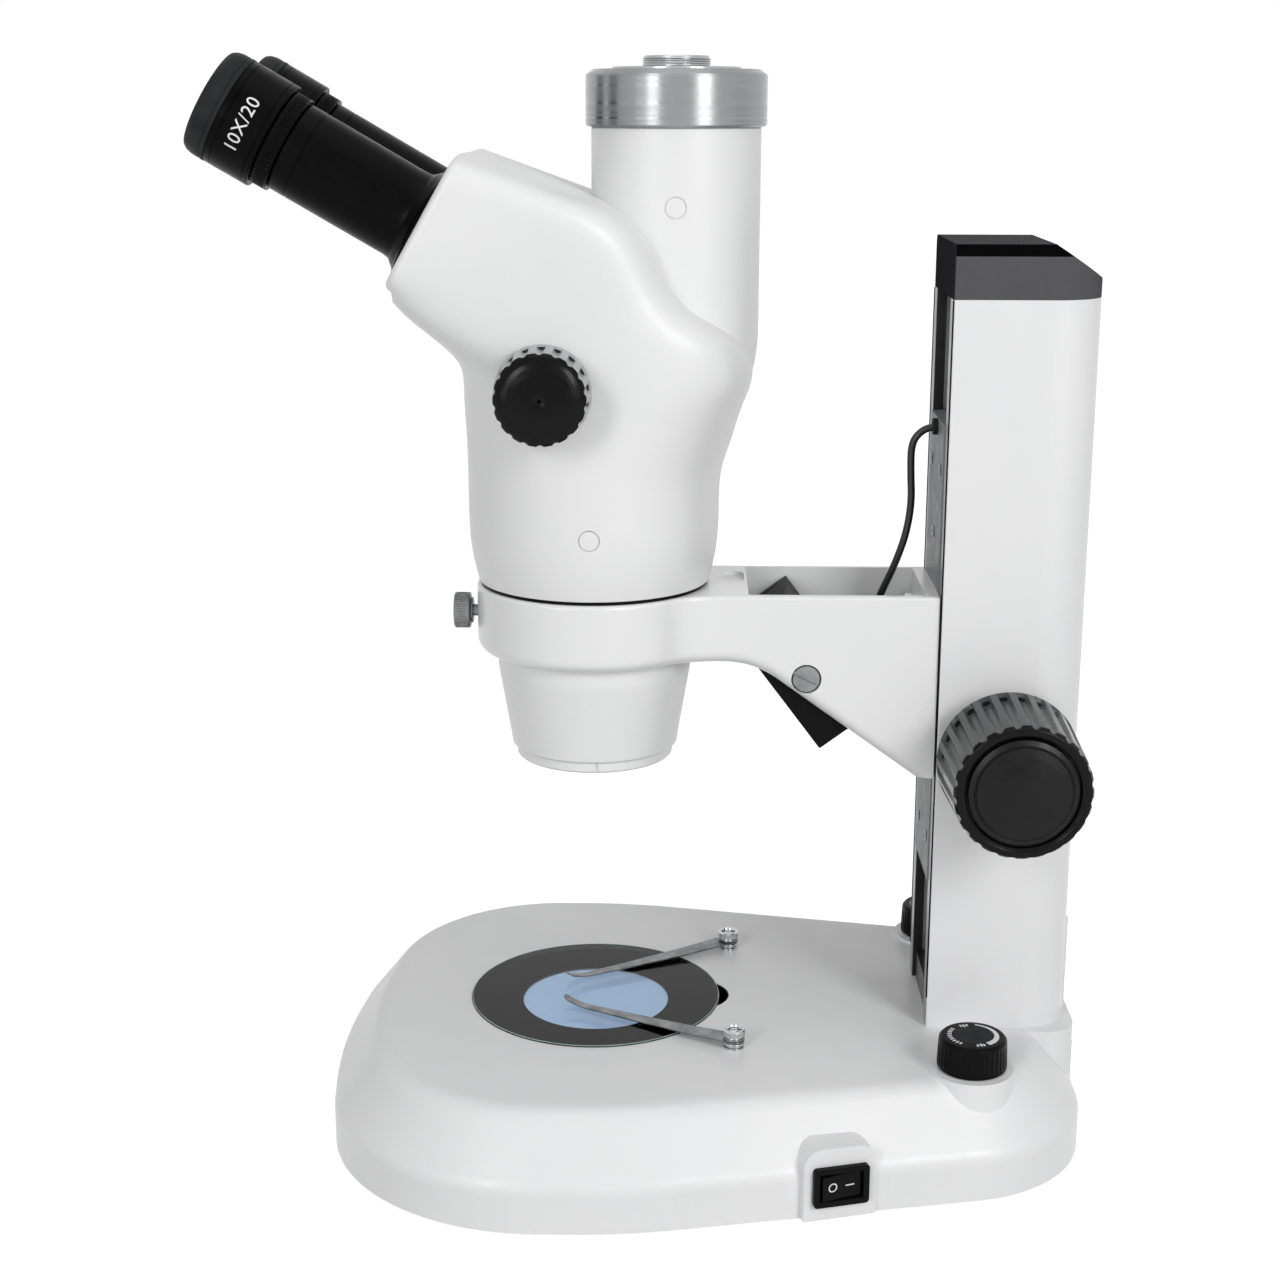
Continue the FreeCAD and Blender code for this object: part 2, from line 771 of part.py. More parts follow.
def stage_mask():
    low = "base_top_z - stage_glass_thickness + stage_glass_proud - mask_thickness"
    ring = cut("mask_ring", cylinder("mask_blank", "stage_glass_radius", "mask_thickness", z=low),
               cylinder("mask_window", "mask_window_radius", "mask_thickness * 3",
                        z=low + " - mask_thickness"))
    return finish(ring, "stage_mask")


def stage_diffuser():
    disc = cylinder("diffuser_disc", "diffuser_radius", "diffuser_thickness",
                    z="base_top_z - stage_glass_thickness + stage_glass_proud - mask_thickness"
                      " - diffuser_thickness")
    return finish(disc, "stage_diffuser")


def stage_lamp_board():
    """A round board of light diodes on four standoffs over the bottom cover."""
    board = cylinder("board_disc", "lamp_board_radius", "lamp_board_thickness", z="lamp_board_z")
    added = [board]
    for i in range(4):
        angle = math.radians(45 + 90 * i)
        reach = v.lamp_board_radius - 5
        place = {"x": str(round(reach * math.cos(angle), 3)), "y": str(round(reach * math.sin(angle), 3))}
        added.append(cylinder("board_standoff_%d" % i, "3",
                              "lamp_board_z - base_bottom_z - cover_plate_thickness",
                              z="base_bottom_z + cover_plate_thickness", **place))
    for i in range(6):
        angle = math.radians(60 * i)
        place = {"x": str(round(15 * math.cos(angle) - 1.75, 3)),
                 "y": str(round(15 * math.sin(angle) - 1.75, 3))}
        added.append(block("board_diode_%d" % i, "3.5", "3.5", "1.6",
                           z="lamp_board_z + lamp_board_thickness", **place))
    return finish(fuse("lamp_board", *added), "stage_lamp_board")


def driver_board():
    """The supply and dimming board beside the inlet, on standoffs over the cover."""
    low = v.base_bottom_z + v.cover_plate_thickness
    board = block("driver_plate", "56", "34", "1.6", "-28", "100", "12")
    parts = [board]
    for i, (x, y) in enumerate(((-24, 104), (24, 104), (-24, 130), (24, 130))):
        parts.append(cylinder("driver_standoff_%d" % i, "2.5", str(12 - low), x=str(x), y=str(y),
                              z="base_bottom_z + cover_plate_thickness"))
    parts.append(block("driver_transformer", "20", "17", "13", "-20", "108", "13.6"))
    parts.append(cylinder("driver_capacitor", "5", "12", x="12", y="118", z="13.6"))
    return finish(fuse("driver_unit", *parts), "driver_board")


# Controls on the foot.

def dimmer_pots():
    """Potentiometers that hang under the foot's top, one below each dimmer knob."""
    pots = []
    for side, x in dimmer_places():
        can = cylinder("pot_can_" + side, "dimmer_pot_radius", "dimmer_pot_height", x=str(x),
                       y="dimmer_y", z="base_top_z - base_skin - dimmer_pot_height")
        bore = cylinder("pot_bore_" + side, "dimmer_stem_radius + running_gap", "dimmer_pot_height",
                        x=str(x), y="dimmer_y", z="base_top_z - base_skin - dimmer_pot_height + 2")
        pots.append(cut("pot_" + side, can, bore))
    return finish(group("pot_pair", *pots), "dimmer_pots")


def dimmer_knob(side, x):
    height, radius = v.dimmer_height, v.dimmer_radius
    stem = v.base_skin + v.dimmer_seat_z - v.base_top_z + v.dimmer_pot_height - 3
    body = turned("dimmer_" + side, [
        (0, -stem, 0), (v.dimmer_stem_radius, -stem, 0), (v.dimmer_stem_radius, 0, 0),
        (radius - 0.4, 0, 0), (radius, 0.4, 0), (radius, height - 1.2, 0.5),
        (radius - 1.2, height, 0.5), (radius - 2.4, height, 0), (radius - 2.8, height - 0.4, 0),
        (0, height - 0.4, 0)])
    flute(body, "dimmer_rib_radius", radius + v.dimmer_rib_radius * 0.3, v.dimmer_rib_count,
          "1.2", "dimmer_height - 3")
    place = Placement(Vector(x, v.dimmer_y, v.dimmer_seat_z), Rotation())
    return finish(body, "dimmer_knob_" + side, place)


def switch_frame():
    """The rocker switch's body: a flanged box open at the front."""
    face = switch_place(v.switch_z)
    proud = face.multiply(Placement(Vector(v.switch_frame_proud, 0, 0), Rotation()))
    flange = upright_slab("switch_flange", rectangle(v.switch_width, v.switch_height, 1.5),
                          v.switch_frame_proud, proud)
    box = upright_slab("switch_box",
                       rectangle(v.switch_window_width + 2 * v.switch_box_wall,
                                 v.switch_window_height + 2 * v.switch_box_wall),
                       v.switch_depth, face)
    room = upright_slab("switch_room", rectangle(v.switch_window_width, v.switch_window_height),
                        v.switch_frame_proud + v.switch_depth - 2, proud)
    reach = v.switch_window_height / 2 + v.rocker_pin_length + v.running_gap
    pivot = cylinder("rocker_bearing", "rocker_pin_radius + running_gap", str(2 * reach))
    pivot.Placement = face.multiply(Placement(Vector(0, 0, -reach), Rotation()))
    return finish(cut("switch_shell", fuse("switch_blank", flange, box), room, pivot), "switch_frame")


def power_rocker():
    """The rocker: two faces in a shallow V over an upright pivot, the right end pressed in."""
    width = v.switch_window_width - 2 * v.rocker_side_gap
    height = v.switch_window_height - 2 * v.rocker_side_gap
    ridge = v.switch_frame_proud - v.rocker_set_back
    rise = width / 2 * math.tan(math.radians(v.rocker_high_tilt))
    fall = width / 2 * math.tan(math.radians(v.rocker_low_tilt))
    back = width / 2 - v.rocker_back_taper
    outline = [(-width / 2, ridge + rise), (0, ridge), (width / 2, ridge - fall),
               (width / 2, 0), (back, -v.rocker_depth), (-back, -v.rocker_depth), (-width / 2, 0)]
    corners = [Vector(x, y, -height / 2) for y, x in outline]
    reach = height / 2 + v.rocker_side_gap + v.rocker_pin_length
    rocker = doc.addObject("Part::Feature", "rocker_block")
    block_shape = Part.Face(Part.makePolygon(corners + corners[:1])).extrude(Vector(0, 0, height))
    pin = Part.makeCylinder(v.rocker_pin_radius, 2 * reach, Vector(0, 0, -reach))
    rocker.Shape = block_shape.fuse(pin)
    rocker.Placement = switch_place(v.switch_z)
    return finish(rocker, "power_rocker")


def power_inlet():
    """A three-pin appliance inlet in the rear wall under the column."""
    rear = "column_seat_rear_y"
    flange = block("inlet_flange", "inlet_width", "inlet_proud", "inlet_height",
                   "-inlet_width / 2", rear, "inlet_z - inlet_height / 2")
    box = block("inlet_box", "inlet_socket_width + 2 * inlet_wall", "inlet_depth - inlet_pin_space",
                "inlet_socket_height + 2 * inlet_wall", "-inlet_socket_width / 2 - inlet_wall",
                rear + " - inlet_depth + inlet_pin_space",
                "inlet_z - inlet_socket_height / 2 - inlet_wall")
    room = block("inlet_room", "inlet_socket_width", "inlet_socket_depth + 1",
                 "inlet_socket_height", "-inlet_socket_width / 2",
                 rear + " + inlet_proud - inlet_socket_depth",
                 "inlet_z - inlet_socket_height / 2")
    floor = rear + " + inlet_proud - inlet_socket_depth"
    pins = [block("inlet_pin_%s" % name, "inlet_pin_width", "inlet_pin_length + 1",
                  "inlet_pin_height", "%d * inlet_pin_spacing - inlet_pin_width / 2" % place,
                  floor + " - 1", "inlet_z + %d * inlet_pin_step - inlet_pin_height / 2" % step)
            for name, place, step in (("live", -1, -1), ("earth", 0, 1), ("neutral", 1, -1))]
    shell = cut("inlet_shell", fuse("inlet_blank", flange, box), room)
    return finish(fuse("inlet_whole", shell, *pins), "power_inlet")


# Stage clips: a spring arm that swings round each screwed post.

def clip_posts():
    posts = []
    for side in (-1, 1):
        name = str(side + 1)
        pin = cylinder("post_pin_" + name, "clip_post_radius - running_gap",
                       "clip_cap_z - base_top_z + base_skin", x=str(side * v.clip_post_x),
                       y="clip_post_y", z="base_top_z - base_skin")
        cap = cylinder("post_cap_" + name, "clip_cap_radius", "clip_cap_height",
                       x=str(side * v.clip_post_x), y="clip_post_y", z="clip_cap_z")
        posts.append(fuse("post_" + name, pin, cap))
    return finish(group("post_pair", *posts), "stage_clip_posts")


def stage_clip(side_name, side):
    """A flat spring arm, wide at its post and turned up at its tip."""
    dx = v.clip_post_x - v.clip_tip_x
    dy = v.clip_tip_y - v.clip_post_y
    length = math.hypot(dx, dy)
    root, tip = v.clip_root_half_width, v.clip_tip_half_width
    arm = [(0.5, -root, 0), (length, -tip, tip * 0.9), (length, tip, tip * 0.9), (0.5, root, 0)]
    plan = Part.Face(outline_wire(arm)).extrude(Vector(0, 0, 20))
    plan = plan.fuse(Part.makeCylinder(v.clip_cap_radius, 20))
    low, thick = v.clip_rest_z, v.clip_thickness
    seat = v.clip_cap_z - thick - v.clip_cap_gap
    crest = length - v.clip_toe_length
    line = [(-10, seat), (v.clip_bow_start, seat), (v.clip_bow_end, seat - v.clip_bow), (crest, low),
            (crest + v.clip_foot_length, low), (length + 2, low + v.clip_turn_up)]
    under = [Vector(x, 0, z) for x, z in line]
    over = [Vector(x, 0, z + thick) for x, z in reversed(line)]
    profile = Part.Face(Part.makePolygon(under + over + [under[0]]))
    profile.translate(Vector(0, -10, 0))
    ribbon = profile.extrude(Vector(0, 20, 0))
    shape = ribbon.common(plan.translated(Vector(0, 0, v.base_top_z - 5)))
    shape = shape.cut(Part.makeCylinder(v.clip_post_radius, 40, Vector(0, 0, v.base_top_z - 10)))
    clip = doc.addObject("Part::Feature", "clip_" + side_name)
    clip.Shape = shape
    heading = math.degrees(math.atan2(dy, -side * dx))
    place = Placement(Vector(side * v.clip_post_x, v.clip_post_y, 0), Rotation(Vector(0, 0, 1), heading))
    return finish(clip, "stage_clip_" + side_name, place)


# The column: an extrusion with a tongue slot, a cap and a rear cover.

def column_outline():
    half, front, rear = v.column_half_width, v.column_front_y, v.column_rear_y
    return [(half, front, v.column_front_radius), (half, rear, v.column_rear_radius),
            (-half, rear, v.column_rear_radius), (-half, front, v.column_front_radius)]


def tongue_room():
    """Front and rear of the channel in which the carriage's tongue slides."""
    front = v.column_front_y + v.column_wall
    rear = front + v.carriage_tongue_thickness + 2 * v.free_gap
    return front, rear


def column():
    half, front, rear = v.column_half_width, v.column_front_y, v.column_rear_y
    slot, inner = v.column_slot_half_width, v.column_half_width - v.column_wall
    lip, rib = tongue_room()
    right = [
        (slot, front, 0), (half, front, v.column_front_radius), (half, rear, v.column_rear_radius)]
    inside = [
        (inner, rear - v.column_wall, v.column_rear_radius - v.column_wall),
        (inner, rib + v.column_rib_thickness, 0),
        (inner - v.column_rib_reach, rib + v.column_rib_thickness, 0),
        (inner - v.column_rib_reach, rib, 0), (inner, rib, 0), (inner, lip, 0), (slot, lip, 0)]
    mirrored = [(-x, y, radius) for x, y, radius in reversed(right)]
    mirrored_inside = [(-x, y, radius) for x, y, radius in reversed(inside)]
    corners = right + mirrored + mirrored_inside + inside
    body = new_body("column_extrusion")
    sketch = sketch_in(body, "column_section", rounded(corners), "XY_Plane", "base_top_z")
    pad(body, sketch, "column_top_z - base_top_z")
    plug = block("column_plug", "2 * column_slot_half_width", "column_wall + 8",
                 "column_plug_top_z - base_top_z", "-column_slot_half_width",
                 "column_front_y + column_plug_recess", "base_top_z")
    bore = cylinder("column_shaft_bore", "focus_bush_radius", "4 * column_half_width",
                    x="-2 * column_half_width", y="focus_axis_y", z="focus_axis_z", turn=ALONG_X)
    return finish(cut("column_bored", fuse("column_with_plug", body, plug), bore), "column")


def column_cap():
    body = new_body("cap_block")
    sketch = sketch_in(body, "cap_plan", rounded(column_outline()), "XY_Plane", "column_top_z")
    pad(body, sketch, "cap_height")
    half, top = v.column_half_width, v.column_top_z + v.cap_height
    rear = v.column_rear_y
    run, drop = v.cap_chamfer_run, v.cap_chamfer_drop
    slope = Part.makePolygon([Vector(-half - 5, v.cap_slope_start_y, top),
                              Vector(-half - 5, rear, top - v.cap_slope_drop),
                              Vector(-half - 5, rear + 5, top - v.cap_slope_drop - 3),
                              Vector(-half - 5, rear + 5, top + 5),
                              Vector(-half - 5, v.cap_slope_start_y, top + 5),
                              Vector(-half - 5, v.cap_slope_start_y, top)])
    wedge = doc.addObject("Part::Feature", "cap_slope")
    wedge.Shape = Part.Face(slope).extrude(Vector(2 * half + 10, 0, 0))
    bevels = []
    for side in (-1, 1):
        edge = Part.makePolygon([Vector(side * (half - run), 0, top), Vector(side * half, 0, top - drop),
                                 Vector(side * (half + run), 0, top - drop),
                                 Vector(side * (half + run), 0, top + 1),
                                 Vector(side * (half - run), 0, top + 1),
                                 Vector(side * (half - run), 0, top)])
        bevel = doc.addObject("Part::Feature", "cap_bevel_%d" % (side + 1))
        bevel.Shape = Part.Face(edge).extrude(Vector(0, 2 * rear, 0))
        bevels.append(bevel)
    return finish(cut("cap_cut", body, wedge, *bevels), "column_cap")


def column_back_cover():
    plate = block("back_plate", "2 * back_cover_half_width", "back_cover_thickness",
                  "back_cover_height", "-back_cover_half_width", "column_rear_y", "base_top_z")
    return finish(plate, "column_back_cover")


# The carriage: a tongue plate with a rack, driven by a pinion on the focus shaft.

def carriage_plate():
    lip, rib = tongue_room()
    half = v.column_slot_half_width - v.free_gap
    wide = v.column_half_width - v.column_wall - v.free_gap
    front, step, back = v.carriage_front_y, lip + v.free_gap, rib - v.free_gap
    corners = [(half, front, 0.4), (half, step, 0), (wide, step, 0), (wide, back, 0),
               (-wide, back, 0), (-wide, step, 0), (-half, step, 0), (-half, front, 0.4)]
    body = new_body("carriage_slide")
    sketch = sketch_in(body, "carriage_section", rounded(corners), "XY_Plane", "carriage_bottom_z")
    pad(body, sketch, "carriage_top_z - carriage_bottom_z")
    seat = cylinder("gland_seat", "gland_radius", "gland_depth + 1", y="carriage_front_y - 1",
                    z="lead_exit_z", turn=ALONG_Y)
    lead_hole = cylinder("lead_hole", "lead_radius + lead_clearance", "lead_hole_depth",
                         y="carriage_front_y", z="lead_exit_z", turn=ALONG_Y)
    holes = [cylinder("carriage_bolt_hole_%d" % i, "arm_bolt_radius", "9", x=str(x),
                      y="carriage_front_y - 1", z=z, turn=ALONG_Y)
             for i, (x, z) in enumerate(arm_bolt_places())]
    return finish(cut("carriage_cut", body, seat, lead_hole, *holes), "carriage_plate")


def arm_bolt_places():
    return [(side * v.arm_bolt_x, z) for side in (-1, 1)
            for z in ("arm_bolt_low_z", "arm_bolt_high_z")]


def rack_pitch_y():
    return v.focus_axis_y - v.rack_module * v.pinion_teeth / 2


def focus_rack():
    """A straight rack whose teeth face the pinion and mesh with it at rest."""
    _, rib = tongue_room()
    back = rib - v.free_gap
    module, pitch_y = v.rack_module, rack_pitch_y()
    pitch = math.pi * module
    slope = math.tan(math.radians(20))
    tip, root = pitch_y + module, pitch_y - 1.25 * module
    half_tooth = pitch / 4 - v.tooth_backlash / 2
    first = v.focus_axis_z - 16.5 * pitch
    low, high = first - pitch / 2, first + (v.rack_teeth - 0.5) * pitch
    line = [Vector(0, back, low), Vector(0, root, low)]
    for i in range(int(v.rack_teeth)):
        middle = first + i * pitch
        at_root = half_tooth + (pitch_y - root) * slope
        at_tip = half_tooth - (tip - pitch_y) * slope
        line += [Vector(0, root, middle - at_root), Vector(0, tip, middle - at_tip),
                 Vector(0, tip, middle + at_tip), Vector(0, root, middle + at_root)]
    line += [Vector(0, root, high), Vector(0, back, high), line[0]]
    rack = doc.addObject("Part::Feature", "rack_bar")
    face = Part.Face(Part.makePolygon(line))
    face.translate(Vector(-v.rack_half_width, 0, 0))
    rack.Shape = face.extrude(Vector(2 * v.rack_half_width, 0, 0))
    return finish(rack, "focus_rack")


def pinion_outline():
    """Involute teeth at a pressure angle of 20 degrees, with a gap on the rack's side."""
    module, teeth = v.rack_module, int(v.pinion_teeth)
    pitch_radius = module * teeth / 2
    base_radius = pitch_radius * math.cos(math.radians(20))
    tip_radius, root_radius = pitch_radius + module, pitch_radius - 1.25 * module
    involute_at_pitch = math.tan(math.radians(20)) - math.radians(20)
    half_angle = (math.pi / 2 * module - v.tooth_backlash) / 2 / pitch_radius
    flank = []
    for step in range(5):
        radius = base_radius + (tip_radius - base_radius) * step / 4
        roll = math.acos(base_radius / radius)
        flank.append((radius, half_angle + involute_at_pitch - (math.tan(roll) - roll)))
    points = []
    for i in range(teeth):
        middle = 2 * math.pi * i / teeth
        side = [(root_radius, flank[0][1])] + flank
        for radius, angle in side:
            points.append((radius, middle - angle))
        for radius, angle in reversed(side):
            points.append((radius, middle + angle))
    vectors = [Vector(r * math.cos(a), r * math.sin(a), 0) for r, a in points]
    return Part.makePolygon(vectors + [vectors[0]])


def focus_pinion():
    blank = Part.Face(pinion_outline()).extrude(Vector(0, 0, 2 * v.pinion_half_length))
    blank = blank.cut(Part.makeCylinder(v.focus_shaft_radius, 2 * v.pinion_half_length))
    pinion = doc.addObject("Part::Feature", "pinion_gear")
    pinion.Shape = blank
    # one tooth points at the rack, which lies towards -Y, and fills a space between its teeth
    towards_rack = Rotation(Vector(0, -1, 0), Vector(0, 0, -1), Vector(1, 0, 0), "XYZ")
    place = Placement(Vector(-v.pinion_half_length, v.focus_axis_y, v.focus_axis_z), towards_rack)
    return finish(pinion, "focus_pinion", place)


# Focus drive: a cross shaft in two bushes, with a knob on each side.

def focus_shaft():
    shaft = cylinder("focus_rod", "focus_shaft_radius", "2 * (focus_knob_front_x - 8)",
                     x="-(focus_knob_front_x - 8)", y="focus_axis_y", z="focus_axis_z", turn=ALONG_X)
    return finish(shaft, "focus_shaft")


def focus_bushes():
    bushes = []
    inner = v.column_half_width - v.column_wall
    for side, turn in ((-1, ALONG_MINUS_X), (1, ALONG_X)):
        bush = turned("focus_bush_%d" % (side + 1), [
            (v.focus_shaft_radius + v.running_gap, inner, 0),
            (v.focus_bush_radius, inner, 0),
            (v.focus_bush_radius, v.column_half_width, 0),
            (v.focus_bush_flange_radius, v.column_half_width, 0),
            (v.focus_bush_flange_radius, v.focus_bush_end_x, 1.5),
            (v.focus_shaft_radius + v.running_gap, v.focus_bush_end_x, 0)])
        bush.Placement = Placement(Vector(0, v.focus_axis_y, v.focus_axis_z), turn)
        bushes.append(bush)
    return finish(group("focus_bush_pair", *bushes), "focus_shaft_bushes")


def side_place(side, y, z):
    """Z of a turned piece points outwards, to the user's left or right."""
    return Placement(Vector(0, y, z), ALONG_X if side > 0 else ALONG_MINUS_X)


def focus_knob(name, side):
    back, front = v.focus_knob_back_x, v.focus_knob_front_x
    wide, narrow = v.focus_knob_back_radius, v.focus_knob_front_radius
    body = turned("focus_grip_" + name, [
        (v.focus_shaft_radius, back, 0), (wide, back, 1.2), (narrow, front, v.focus_knob_rim_radius),
        (v.focus_cap_radius + 1.5, front, 0.4), (v.focus_cap_radius, front - v.focus_knob_face_recess, 0),
        (v.focus_cap_radius, front - v.focus_cap_seat, 0),
        (v.focus_shaft_radius, front - v.focus_cap_seat, 0)])
    flute(body, "focus_flute_radius", narrow + v.focus_flute_radius - v.focus_flute_depth,
          v.focus_flute_count, "focus_knob_back_x + focus_flute_back",
          "focus_knob_front_x - focus_knob_back_x + 4")
    return finish(body, "focus_knob_" + name, side_place(side, v.focus_axis_y, v.focus_axis_z))


def focus_knob_caps():
    """Domed caps pressed into the faces of the focus knobs."""
    front = v.focus_knob_front_x
    radius = v.focus_cap_radius
    caps = []
    for side in (-1, 1):
        rise = v.focus_cap_rise
        dome = (radius ** 2 + rise ** 2) / (2 * rise)
        rim = front - v.focus_knob_face_recess
        length = rim + rise - (front - v.focus_cap_seat)
        cap = Part.makeCylinder(radius, length, Vector(0, 0, front - v.focus_cap_seat))
        cap = cap.common(Part.makeSphere(dome, Vector(0, 0, rim + rise - dome)))
        piece = doc.addObject("Part::Feature", "focus_cap_%d" % (side + 1))
        piece.Shape = cap
        piece.Placement = side_place(side, v.focus_axis_y, v.focus_axis_z)
        caps.append(piece)
    return finish(group("focus_cap_pair", *caps), "focus_knob_caps")


# The arm: a ring for the head and an open box for the lamp, cast in one.

def arm_plan():
    """The arm from above: a ring that flows into parallel walls."""
    ring, half, blend = v.arm_ring_radius, v.arm_half_width, v.arm_blend_radius
    centre = Vector(half + blend, math.sqrt((ring + blend) ** 2 - (half + blend) ** 2), 0)
    meet = centre * (ring / (ring + blend))
    bend = (Vector(-half - blend, 0, 0) + (meet - centre)).normalize() * blend
    start, middle, end = meet, centre + bend, Vector(half, centre.y, 0)
    rear = Vector(half, v.carriage_front_y, 0)

    def mirror(point):
        return Vector(-point.x, point.y, 0)

    return [Part.Arc(mirror(start), Vector(0, -ring, 0), start), Part.Arc(start, middle, end),
            Part.LineSegment(end, rear), Part.LineSegment(rear, mirror(rear)),
            Part.LineSegment(mirror(rear), mirror(end)), Part.Arc(mirror(end), mirror(middle), mirror(start))]


def arm():
    plan = new_body("arm_from_above")
    sketch = sketch_in(plan, "arm_plan", arm_plan(), "XY_Plane", "arm_foot_z")
    pad(plan, sketch, "arm_top_z - arm_foot_z")
    side = new_body("arm_from_side")
    ring, rear = v.arm_ring_radius + 5, v.carriage_front_y + 5
    profile = [(-ring, v.arm_bottom_z, 0), (-ring, v.arm_top_z + 5, 0), (rear, v.arm_top_z + 5, 0),
               (rear, v.arm_foot_z, 0), (v.arm_foot_front_y, v.arm_foot_z, 0),
               (v.arm_knee_y, v.arm_bottom_z, v.arm_knee_radius)]
    side_sketch = sketch_in(side, "arm_side", rounded(profile), "YZ_Plane", "-60")
    pad(side, side_sketch, "120")
    blank = common("arm_blank", plan, side)
    doc.recompute()
    low = edges_level(blank.Shape, v.arm_bottom_z)
    high = edges_level(blank.Shape, v.arm_top_z)
    rear_edges = [n for n in high if blank.Shape.Edges[int(n[4:]) - 1].BoundBox.YMin
                  > v.carriage_front_y - 0.1]
    soft = doc.addObject("Part::Fillet", "arm_soft_edges")
    soft.Base = blank
    soft.Edges = ([(int(n[4:]), v.arm_low_radius, v.arm_low_radius) for n in low
                   if blank.Shape.Edges[int(n[4:]) - 1].BoundBox.YMin < -v.arm_ring_radius + 1]
                  + [(int(n[4:]), v.arm_edge_radius, v.arm_edge_radius) for n in high
                     if n not in rear_edges])
    inner = "2 * (arm_half_width - arm_wall)"
    left = "arm_wall - arm_half_width"
    taken = [
        cylinder("arm_bore", "barrel_radius + running_gap", "60", z="arm_bottom_z - 10"),
        block("arm_pocket", inner, "carriage_front_y - arm_rear_wall - arm_pocket_front_y", "120",
              left, "arm_pocket_front_y", "arm_foot_z - 10"),
        block("arm_hollow", inner, "arm_pocket_front_y - arm_hollow_front_y + 1",
              "arm_top_z - arm_web_thickness - arm_foot_z + 10", left, "arm_hollow_front_y",
              "arm_foot_z - 10"),
        block("web_recess_middle", "web_recess_length", "2 * web_recess_radius", "web_recess_depth + 1",
              "web_recess_x - web_recess_length / 2", "web_recess_y - web_recess_radius",
              "arm_top_z - web_recess_depth"),
        cylinder("clamp_thread", "clamp_stem_radius + running_gap", "arm_ring_radius",
                 y="-arm_ring_radius - 10", z="clamp_z", turn=ALONG_Y),
    ]
    for end in (-1, 1):
        taken.append(cylinder("web_recess_end_%d" % (end + 1), "web_recess_radius",
                              "web_recess_depth + 1",
                              x="web_recess_x + %d * web_recess_length / 2" % end,
                              y="web_recess_y", z="arm_top_z - web_recess_depth"))
        turn = ALONG_X if end > 0 else ALONG_MINUS_X
        taken.append(cylinder("lamp_screw_seat_%d" % (end + 1), "lamp_screw_radius + free_gap",
                              "lamp_screw_recess + 5",
                              x="%d * (arm_half_width - lamp_screw_recess)" % end,
                              y="lamp_axis_y", z="lamp_axis_z", turn=turn))
        taken.append(cylinder("lamp_screw_hole_%d" % (end + 1), "lamp_pivot_radius", "10",
                              x="%d * (arm_half_width - arm_wall - 2)" % end,
                              y="lamp_axis_y", z="lamp_axis_z", turn=turn))
    for i, (x, z) in enumerate(arm_bolt_places()):
        taken.append(cylinder("arm_bolt_hole_%d" % i, "arm_bolt_radius", "10", x=str(x),
                              y="carriage_front_y - arm_rear_wall - 2", z=z, turn=ALONG_Y))
    return finish(cut("arm_casting", soft, *taken), "arm")


def arm_bolts():
    """Cap screws through the arm's rear wall into the carriage."""
    bolts = []
    for i, (x, z) in enumerate(arm_bolt_places()):
        head = cylinder("arm_bolt_head_%d" % i, "arm_bolt_head_radius", "arm_bolt_head_height",
                        x=str(x), y="carriage_front_y - arm_rear_wall - arm_bolt_head_height",
                        z=z, turn=ALONG_Y)
        shank = cylinder("arm_bolt_shank_%d" % i, "arm_bolt_radius - running_gap",
                         "arm_rear_wall + 6", x=str(x), y="carriage_front_y - arm_rear_wall - 0.5",
                         z=z, turn=ALONG_Y)
        socket = cylinder("arm_bolt_socket_%d" % i, "2", "3", x=str(x),
                          y="carriage_front_y - arm_rear_wall - arm_bolt_head_height - 1",
                          z=z, turn=ALONG_Y)
        bolts.append(cut("arm_bolt_%d" % i, fuse("arm_bolt_blank_%d" % i, head, shank), socket))
    return finish(group("arm_bolt_set", *bolts), "arm_bolts")


def clamp_screw():
    """The thumbscrew in the front of the ring; Z runs outwards, from its tip."""
    tip = v.barrel_radius + v.free_gap
    head = v.arm_ring_radius + v.clamp_head_gap
    body = turned("clamp_turning", [
        (0, tip, 0), (v.clamp_stem_radius, tip, 0), (v.clamp_stem_radius, head, 0),
        (v.clamp_head_radius, head, 0.5), (v.clamp_head_radius, head + v.clamp_head_length, 0.5),
        (0, head + v.clamp_head_length, 0)])
    place = Placement(Vector(0, 0, v.clamp_z), ALONG_MINUS_Y)
    return finish(body, "clamp_screw", place)


# The arm lamp, its pivots and its lead.

def lamp_frame():
    """The lamp's middle on its pivot, with Y into its depth and Z up its beam face."""
    return Placement(Vector(0, v.lamp_axis_y, v.lamp_axis_z), Rotation(Vector(1, 0, 0), v.lamp_turn))


def lamp_housing():
    half, deep, tall = v.lamp_half_width, v.lamp_depth / 2, v.lamp_length / 2
    body = new_body("lamp_case")
    sketch = sketch_in(body, "lamp_section",
                       rounded(rectangle(2 * half, 2 * deep, v.lamp_edge_radius)), "XY_Plane",
                       "-lamp_length / 2")
    pad(body, sketch, "lamp_length")
    window = block("lamp_window_room", "2 * (lamp_half_width - lamp_window_inset)",
                   "lamp_window_thickness + 6", "lamp_length - 2 * lamp_window_inset",
                   "lamp_window_inset - lamp_half_width", "-lamp_depth / 2 - 6",
                   "lamp_window_inset - lamp_length / 2")
    taken = [window]
    for side in (-1, 1):
        taken.append(cylinder("lamp_pivot_room_%d" % (side + 1), "lamp_pivot_radius + running_gap",
                              "lamp_screw_bite + 2", x="%d * (lamp_half_width - lamp_screw_bite)" % side,
                              turn=ALONG_X if side > 0 else ALONG_MINUS_X))
    return finish(cut("lamp_hollowed", body, *taken), "lamp_housing", lamp_frame())


